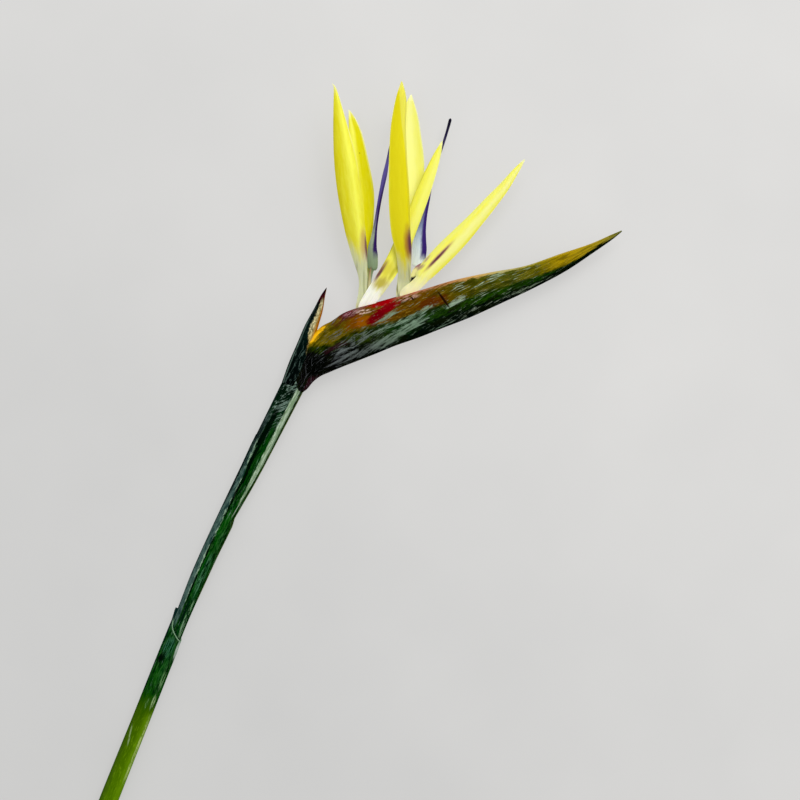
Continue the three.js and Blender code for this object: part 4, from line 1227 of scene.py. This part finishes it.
# A pale band along the right margin, weaker towards the claw, is a painted highlight.
flesh_rim_highlight = flesh.both(flesh.rise(flesh_across, 0.84, 0.96), flesh.rise(flesh_along, 0.5, 0.85), 0.7)
flesh_colour = flesh.mix(flesh_rim_highlight, flesh_colour, (253, 253, 172))
flesh_tip = flesh.rise(flesh.scaled(flesh_torn, 0.06, flesh_along), 0.95, 1.0)
flesh_colour = flesh.paint(flesh_colour, (250, 250, 190), flesh_tip, 0.8)
flesh_reach = flesh.less(flesh_in["Claw length"], flesh_along)
flesh_reach = flesh.scaled(flesh.maths("ABSOLUTE", flesh_across), 0.07, flesh_reach)
flesh_reach = flesh.scaled(flesh.times(flesh_torn, 1.6), flesh_in["Claw fade"], flesh_reach)
flesh_white = flesh.mix(
    flesh.rise(flesh_fibre, 0.35, 0.65), flesh.mix(0.2, flesh_in["Claw"], (150, 160, 90)), flesh_in["Claw"],
)
flesh_claw = flesh.maths("DIVIDE", flesh_reach, flesh_in["Claw fade"])
flesh_colour = flesh.mix(flesh.rise(flesh_claw, -1.0, 1.0), flesh_colour, flesh_white)
flesh.feed(flesh_out["Colour"], flesh_colour)
flesh.feed(flesh_out["Height"], flesh_fibre)
flesh.feed(flesh_out["Torn"], flesh_torn)


def sepal_yellow(name, look):
    """Waxy sepal flesh. A look's spots are middle and reach as seen from above, turn, colour and strength."""
    material, palette = finish_of(name)
    leaf = palette.marks("leaf")
    across, _, along = palette.parts(leaf)
    # A painted highlight runs along the blade at light_line, on top of the flesh's own streaks.
    off = palette.maths("ABSOLUTE", palette.less(across, look["light_line"]))
    light = palette.plus(palette.both(palette.rise(off, 0.8, 0.0), look["light"]), look["glow"])
    flesh_made = palette.group(
        "sepal flesh", leaf=leaf, grain=palette.marks("grain"), yellow=look["yellow"], pale=look["pale"],
        light=light, claw=look["claw"], claw_length=look["claw_length"],
        claw_fade=look.get("claw_fade", 0.075),
    )
    colour = flesh_made["Colour"]
    # Some blades have darker or paler margins. The darker left margins of near_1 and far_1 are painted shade.
    for low, high, shade, amount in look["sides"]:
        side = palette.both(palette.rise(palette.scaled(flesh_made["Torn"], 0.3, across), low, high), amount)
        blade_part = palette.band(along, look["claw_length"] + 0.08, 0.9, 0.06)
        colour = palette.paint(colour, shade, side, blade_part)
    if "lit_facet" in look:
        # Near the tip the keel turns, and the blade's right flank is painted lighter, as light falling on
        # that flank.
        bow = palette.maths("POWER", palette.larger(palette.less(along, 0.6), 0.0), 2.0)
        keel = palette.scaled(bow, -11.7, 0.9)
        lit_facet = palette.both(
            palette.rise(palette.less(across, keel), -0.05, 0.12), palette.rise(along, 0.5, 0.6),
        )
        colour = palette.paint(colour, look["lit_facet"], lit_facet, 0.85)
    flat = palette.flat_place()
    for middle, reach, turn, shade, amount in look["spots"]:
        spot = palette.oval(flat, middle, reach, turn, 0.8, torn=palette.both(flesh_made["Torn"], 0.5))
        colour = palette.paint(colour, shade, spot, amount)
    relief = palette.bump(flesh_made["Height"], 0.35)
    return finished(
        material, palette, colour, roughness=0.45, gloss=0.15, relief=relief,
        subsurface_weight=0.15, subsurface_radius=(0.002, 0.0016, 0.0003), subsurface_scale=1.0,
    )


PURPLE = (100, 46, 70)
SEPAL_LOOKS = {
    "near_1": {
        "yellow": (226, 216, 0), "pale": (249, 248, 92), "light_line": 0.45, "light": 0.8, "glow": 0.12,
        "claw": (212, 216, 174), "claw_length": 0.25,
        # The darker left margin is painted shade.
        "sides": [(-0.5, -0.95, (196, 184, 0), 0.6)],
        "spots": [
            ((-14, 50), (3, 14), 9, (228, 222, 60), 0.5), ((-8.2, 42), (2.6, 11.5), 3, (188, 146, 92), 0.7),
            ((-6.6, 40.5), (1.6, 9.5), 3, PURPLE, 0.9), ((-12.1, 22), (1.1, 14), -3, (118, 122, 74), 0.85),
            ((-8, 23), (0.8, 12), 0, (150, 154, 110), 0.6),
        ],
    },
    "far_1": {
        "yellow": (230, 222, 0), "pale": (250, 249, 104), "light_line": -0.5, "light": 0.9, "glow": 0.0,
        "claw": (214, 218, 160), "claw_length": 0.2,
        # The darker left margin is painted shade.
        "sides": [(-0.6, -0.95, (206, 198, 40), 0.5)],
        "spots": [((-10.2, 87.7), (0.4, 0.35), 0, (90, 70, 10), 0.8)],
    },
    "front_1": {
        "yellow": (240, 235, 62), "pale": (251, 250, 120), "light_line": 0.4, "light": 0.8, "glow": 0.3,
        "claw": (252, 252, 238), "claw_length": 0.145, "claw_fade": 0.042,
        "sides": [(-0.75, -1.0, (200, 196, 40), 0.5)],
        "spots": [
            ((4.2, 29), (5, 8), -35, (210, 200, 58), 0.85),
            ((6.6, 27.6), (1.5, 8), -35, (186, 178, 34), 0.75),
            ((3.4, 18), (4.4, 7.4), -35, (216, 214, 138), 0.9),
            ((0.4, 22.4), (6.6, 4.4), 25, (182, 168, 64), 0.95),
            ((0.2, 28.4), (1.8, 8.6), -35, (130, 84, 74), 0.9),
            ((-0.4, 27), (0.9, 6), -35, (92, 46, 66), 0.8),
        ],
    },
    "near_2": {
        "yellow": (228, 215, 0), "pale": (238, 228, 34), "light_line": 0.4, "light": 0.25, "glow": 0.0,
        "claw": (212, 214, 168), "claw_length": 0.15, "lit_facet": (236, 230, 86),
        "sides": [(-0.8, -1.0, (240, 236, 96), 0.5)],
        "spots": [
            ((13.9, 42.2), (2.8, 11.8), 2, (168, 104, 44), 0.85), ((15.2, 42.2), (2.2, 10.6), 2, PURPLE, 1.0),
            # The olive line at the claw's left edge is painted shade.
            ((8.2, 22), (0.8, 9), 8, (104, 104, 40), 0.85), ((14.6, 27), (0.7, 8), 4, (150, 152, 96), 0.6),
        ],
    },
    "far_2": {
        "yellow": (247, 245, 96), "pale": (253, 253, 150), "light_line": -0.1, "light": 0.9, "glow": 0.4,
        "claw": (244, 240, 190), "claw_length": 0.28,
        "sides": [],
        "spots": [],
    },
    "front_2": {
        "yellow": (243, 238, 64), "pale": (252, 251, 150), "light_line": 0.25, "light": 0.8, "glow": 0.2,
        "claw": (247, 245, 198), "claw_length": 0.105,
        "sides": [(-0.4, -0.66, (234, 234, 116), 0.85), (0.6, 0.95, (244, 236, 70), 0.55)],
        "spots": [
            ((11, 19.6), (3.2, 4.2), 0, (212, 211, 166), 0.9),
            ((16, 23), (2.4, 4.6), -44, (216, 210, 134), 0.75),
            ((29.4, 35.8), (1.5, 14), -44, (176, 122, 104), 0.85), ((29, 35.2), (0.9, 12), -44, PURPLE, 1.0),
            ((19.8, 30.2), (1.6, 4), -60, (156, 114, 116), 0.8),
            ((15, 19), (5, 9), -50, (246, 243, 184), 0.6),
            ((23.3, 34.2), (0.8, 3.8), -40, (164, 130, 134), 0.75),
        ],
    },
}
veins = vein_tree()
for index, (key, form) in enumerate(SEPALS.items()):
    side, number = key.split("_")
    sepal = blade(f"sepal_{key}", **form)
    skin = sepal_yellow(f"sepal {side} {number}", SEPAL_LOOKS[key])
    applied(sepal, veins, veins=9.0, vein_height=0.000045, wander=1.2, seed=index + 1, skin=skin)
    belongs(smoothed(sepal, 70), f"sepal_{key}")

# The blue arrows.
# In each floret two petals are fused into a thin arrow that holds the style. A dark violet fold runs down its
# right side, and its broad foot, cut off straight at the barb, is pale grey green or nearly white.
ARROWS = {
    1: [
        (-6.6, 8.5, 7.4, 0.6), (-6, 15, 7.4, 0.6), (-5, 23, 7.3, 0.6), (-4, 28.6, 7.1, 0.8),
        (-3.7, 30.2, 7.05, 2.4), (-3.7, 36, 6.9, 2.6), (-3.8, 40, 6.8, 2.2), (-3.1, 45, 6.8, 1.5),
        (-2.2, 51.5, 6.7, 1), (-0.6, 61.5, 6.7, 0.95), (0.8, 69, 6.7, 1.05), (2.4, 76.5, 6.8, 1.15),
        (3.7, 83, 6.9, 0.8), (4.9, 89.5, 7, 0.6), (6.2, 96.5, 7.2, 0.3),
    ],
    2: [
        (14.1, 14.3, 7.4, 0.6), (15.3, 19, 7.4, 0.6), (16.9, 25, 7.2, 0.7), (18.2, 29.4, 7, 1.2),
        (19, 31.4, 6.95, 2.9), (19.8, 38.5, 6.7, 3.5), (20, 44, 6.4, 3.1), (20.6, 49.5, 6.1, 2.4),
        (22, 56.5, 5.9, 1.6), (23.8, 64, 5.8, 1.1), (24.9, 70, 5.8, 1), (26.5, 76.4, 5.8, 0.9),
        (28.3, 82.3, 5.9, 0.6), (29.9, 87.6, 6, 0.3),
    ],
}


def arrow_skin(name, body_stops, fold_from, fold_until, fold_top, fold_colour):
    """The body's colours from foot to tip, and the dark fold on the right, from fold_until to fold_top."""
    material, palette = finish_of(name)
    across, _, along = palette.parts(palette.marks("leaf"))
    place = palette.enlarged(palette.marks("grain"), PER_METRE)
    fibre = palette.group("growth lines", place=place, fineness=2.2)["Value"]
    ragged = palette.noise(palette.stretched(place, (0.8, 1, 0.4)), 1.0, 4.0, 0.7)
    torn = palette.less(ragged, 0.5)
    body = palette.ramp(palette.scaled(torn, 0.06, along), body_stops)
    body = palette.paint(body, palette.mix(0.5, body, fold_colour), palette.rise(fibre, 0.5, 0.36), 0.35)
    across_torn = palette.scaled(torn, 0.4, across)
    fold = palette.rise(across_torn, fold_from - 0.25, fold_from + 0.25)
    foot = palette.scaled(torn, 0.06, along)
    fold = palette.both(
        fold, palette.rise(foot, fold_until - 0.02, fold_until + 0.05), palette.rise(along, 0.85, fold_top),
    )
    colour = palette.mix(fold, body, fold_colour)
    rim = palette.both(palette.rise(across_torn, -0.7, -1.0), palette.rise(along, 0.45, 0.56))
    colour = palette.paint(colour, fold_colour, rim, 0.6)
    relief = palette.bump(fibre, 0.4)
    return finished(material, palette, colour, roughness=0.5, gloss=0.12, relief=relief)


ARROW_FINISH = {
    1: arrow_skin("arrow 1 skin", [
        (0.0, (214, 220, 190)), (0.22, (122, 142, 104)), (0.3, (134, 152, 120)), (0.42, (156, 170, 150)),
        (0.5, (110, 110, 140)), (0.58, (70, 50, 128)), (0.72, (98, 86, 182)), (0.84, (106, 96, 190)),
        (0.92, (38, 28, 92)),
    ], 0.1, 0.3, 0.55, (40, 8, 84)),
    2: arrow_skin("arrow 2 skin", [
        (0.0, (238, 242, 236)), (0.25, (232, 242, 236)), (0.36, (208, 222, 230)), (0.43, (178, 194, 214)),
        (0.5, (126, 138, 176)), (0.6, (88, 84, 144)), (0.74, (60, 40, 120)), (0.92, (34, 24, 84)),
    ], 0.2, 0.27, 0.8, (46, 20, 104)),
}
for number, stations in ARROWS.items():
    arrow = blade(
        f"arrow_{number}", stations, crown=0.28, ridge=0.25, facing=1, wall=1.0, edge=0.4, claw=0.3,
    )
    applied(
        arrow, veins, veins=3.0, vein_height=0.00005, wander=0.8, seed=20 + number,
        skin=ARROW_FINISH[number],
    )
    belongs(smoothed(arrow, 70), f"arrow_{number}")

# The third petals.
# A small, thin, pointed petal stands on its own narrow claw in front of the foot of each arrow. It is brown
# orange, and mauve at its tip.
NECTARIES = {
    1: [
        (-6, 8.9, 8.9, 0.5), (-5.8, 15, 8.9, 0.5), (-5.3, 22, 8.8, 0.6), (-5, 27, 8.6, 0.5),
        (-4.5, 30.6, 8.3, 0.2),
    ],
    2: [
        (14.4, 15, 8.8, 0.5), (15, 19.5, 8.8, 0.7), (16.4, 23.8, 8.7, 1.3), (17.4, 26.6, 8.6, 1.9),
        (18.8, 29.4, 8.5, 1.7), (20.8, 31.6, 8.5, 0.9), (22.2, 32.8, 8.5, 0.2),
    ],
}


def nectary_skin(name, stops):
    material, palette = finish_of(name)
    place = palette.enlarged(palette.marks("grain"), PER_METRE)
    fibre = palette.group("growth lines", place=place, fineness=2.4)["Value"]
    across, _, along = palette.parts(palette.marks("leaf"))
    # The zones of colour slant across the petal.
    slant = palette.scaled(across, -0.05, along)
    colour = palette.ramp(palette.scaled(palette.less(fibre, 0.5), 0.12, slant), stops)
    relief = palette.bump(fibre, 0.4)
    return finished(material, palette, colour, roughness=0.5, gloss=0.15, relief=relief)


NECTARY_FINISH = {
    1: nectary_skin("third petal 1 skin", [
        (0.5, (200, 198, 150)), (0.72, (176, 164, 116)), (0.88, (152, 126, 84)), (1.0, (122, 104, 84)),
    ]),
    # The second is cream with a black band across it, painted as the shade of the dark gap under the sepals,
    # and mauve at its tip.
    2: nectary_skin("third petal 2 skin", [
        (0.4, (238, 234, 180)), (0.44, (10, 3, 8)), (0.53, (12, 4, 10)), (0.57, (238, 232, 150)),
        (0.74, (232, 224, 150)), (0.84, (160, 118, 120)), (1.0, (142, 104, 108)),
    ]),
}
for number, stations in NECTARIES.items():
    nectary = blade(f"nectary_{number}", stations, crown=0.15, ridge=0, facing=1, wall=0.6, edge=0.35)
    nectary.data.materials.append(NECTARY_FINISH[number])
    belongs(nectary, f"nectary_{number}")

# The styles.
# A thin dark style comes out of the tip of each arrow, which holds it. It is greyish violet, and nearly black
# at its sticky end.
STYLES = {
    1: [(6.2, 96.3, 6.75), (7.3, 101.5, 7), (8.4, 106.5, 7.4), (9.1, 110, 7.8)],
    2: [(29.9, 87.2, 5.4), (32.2, 94, 5.8), (34, 100, 6.2), (35.3, 104.8, 6.6)],
}
STYLE_STEPS = 60
STYLE_RADIUS = 0.62
# The sticky end swells by this much, and then ends in a blunt point.
STYLE_SWELL = 0.12
STYLE_POINT = 0.45
# The colours run along a style of this length, in metres.
STYLE_LENGTH = 0.018


def style_skin():
    material, palette = finish_of("style skin")
    skin = palette.marks("skin")
    along = palette.parts(skin)[2]
    place = palette.enlarged(skin, (1, 1, PER_METRE))
    grain = palette.noise(place, 1.4, 4.0, 0.7)
    colour = palette.ramp(palette.scaled(grain, 0.1, palette.maths("DIVIDE", along, STYLE_LENGTH)), [
        (0.0, (92, 84, 112)), (0.35, (60, 52, 90)), (0.6, (26, 18, 62)), (0.95, (8, 6, 30)),
    ])
    relief = palette.bump(grain, 0.6)
    return finished(material, palette, colour, roughness=0.6, gloss=0.1, relief=relief)


style_material = style_skin()
for number, stations in STYLES.items():
    line = smooth_through(stations, STYLE_STEPS)
    share = np.linspace(0, 1, STYLE_STEPS)
    thickness = STYLE_RADIUS + STYLE_SWELL * ease(share, 0.5, 0.9) - STYLE_POINT * ease(share, 0.95, 1.0)
    style = grown_tube(
        f"style_{number}", line, thickness, stem_tree,
        sides=20, ribs=5, rib_height=0.00005, seed=30 + number, skin=style_material,
    )
    belongs(style, f"style_{number}")

# The stage.
# A pale plastered surface that glows by itself, so that shadows on it stay faint, and is painted lighter
# towards the upper right; a broad soft light from beyond the sepals, and a camera straight above the flower.
PICTURE_MIDDLE = (0.010, -0.036)
PICTURE_WIDTH = 0.4
CAMERA_HEIGHT = 3.0
SENSOR = 36.0
FLOOR_SIZE = 8.0
FLOOR_GLOW = 3.2
ROOM_LIGHT = 0.42
CAMERA_SIGHT = 20

floor_mesh = bpy.data.meshes.new("floor")
reach = FLOOR_SIZE / 2
floor_mesh.from_pydata(
    [(-reach, -reach, 0), (reach, -reach, 0), (reach, reach, 0), (-reach, reach, 0)], [], [(0, 1, 2, 3)],
)
floor = placed_in_scene("floor", floor_mesh)
floor_material, plaster = finish_of("plaster")
plaster_cloud = plaster.noise(plaster.object_place(), 11.0, 3.0, 0.5)
# The plaster has its own mottle, is painted lighter towards the upper right as painted light, and glows by
# itself so that shadows on it stay faint.
plaster_light_falloff = plaster.rise(plaster.plus(*plaster.parts(plaster.object_place())[:2]), -0.35, 0.25)
plaster_mottle_and_light = plaster.scaled(plaster_cloud, 0.5, plaster.times(plaster_light_falloff, 0.6))
plaster_colour = plaster.mix(plaster_mottle_and_light, (105, 105, 104.5), (116.5, 116, 115))
floor.data.materials.append(finished(
    floor_material, plaster, plaster_colour, roughness=0.9, gloss=0.1,
    emission_color=plaster_colour, emission_strength=FLOOR_GLOW,
))

world = bpy.data.worlds.new("studio")
bpy.context.scene.world = world
world.use_nodes = True
world.node_tree.nodes["Background"].inputs["Color"].default_value = (1.0, 1.0, 1.0, 1)
world.node_tree.nodes["Background"].inputs["Strength"].default_value = ROOM_LIGHT


def soft_light(name, place, size, energy, aim):
    lamp = bpy.data.lights.new(name, "AREA")
    lamp.size = size
    lamp.energy = energy
    holder = placed_in_scene(name, lamp)
    holder.location = place
    away = np.array(place) - np.array(aim)
    level = math.hypot(away[0], away[1])
    holder.rotation_euler = (math.atan2(level, away[2]), 0, math.atan2(away[0], -away[1]))


soft_light("key light", place=(0.5, 1.1, 1.3), size=1.1, energy=24, aim=(0, 0, 0))
soft_light("fill light", place=(-1.1, -0.4, 1.5), size=1.4, energy=5, aim=(0, 0, 0))

camera_data = bpy.data.cameras.new("camera")
camera_data.sensor_width = SENSOR
camera_data.lens = SENSOR * (CAMERA_HEIGHT - SPATHE_MIDDLE_Z * MM) / PICTURE_WIDTH
camera_data.clip_end = CAMERA_SIGHT
camera = placed_in_scene("camera", camera_data)
camera.location = (*PICTURE_MIDDLE, CAMERA_HEIGHT)
bpy.context.scene.camera = camera
bpy.context.scene.view_settings.view_transform = "Standard"
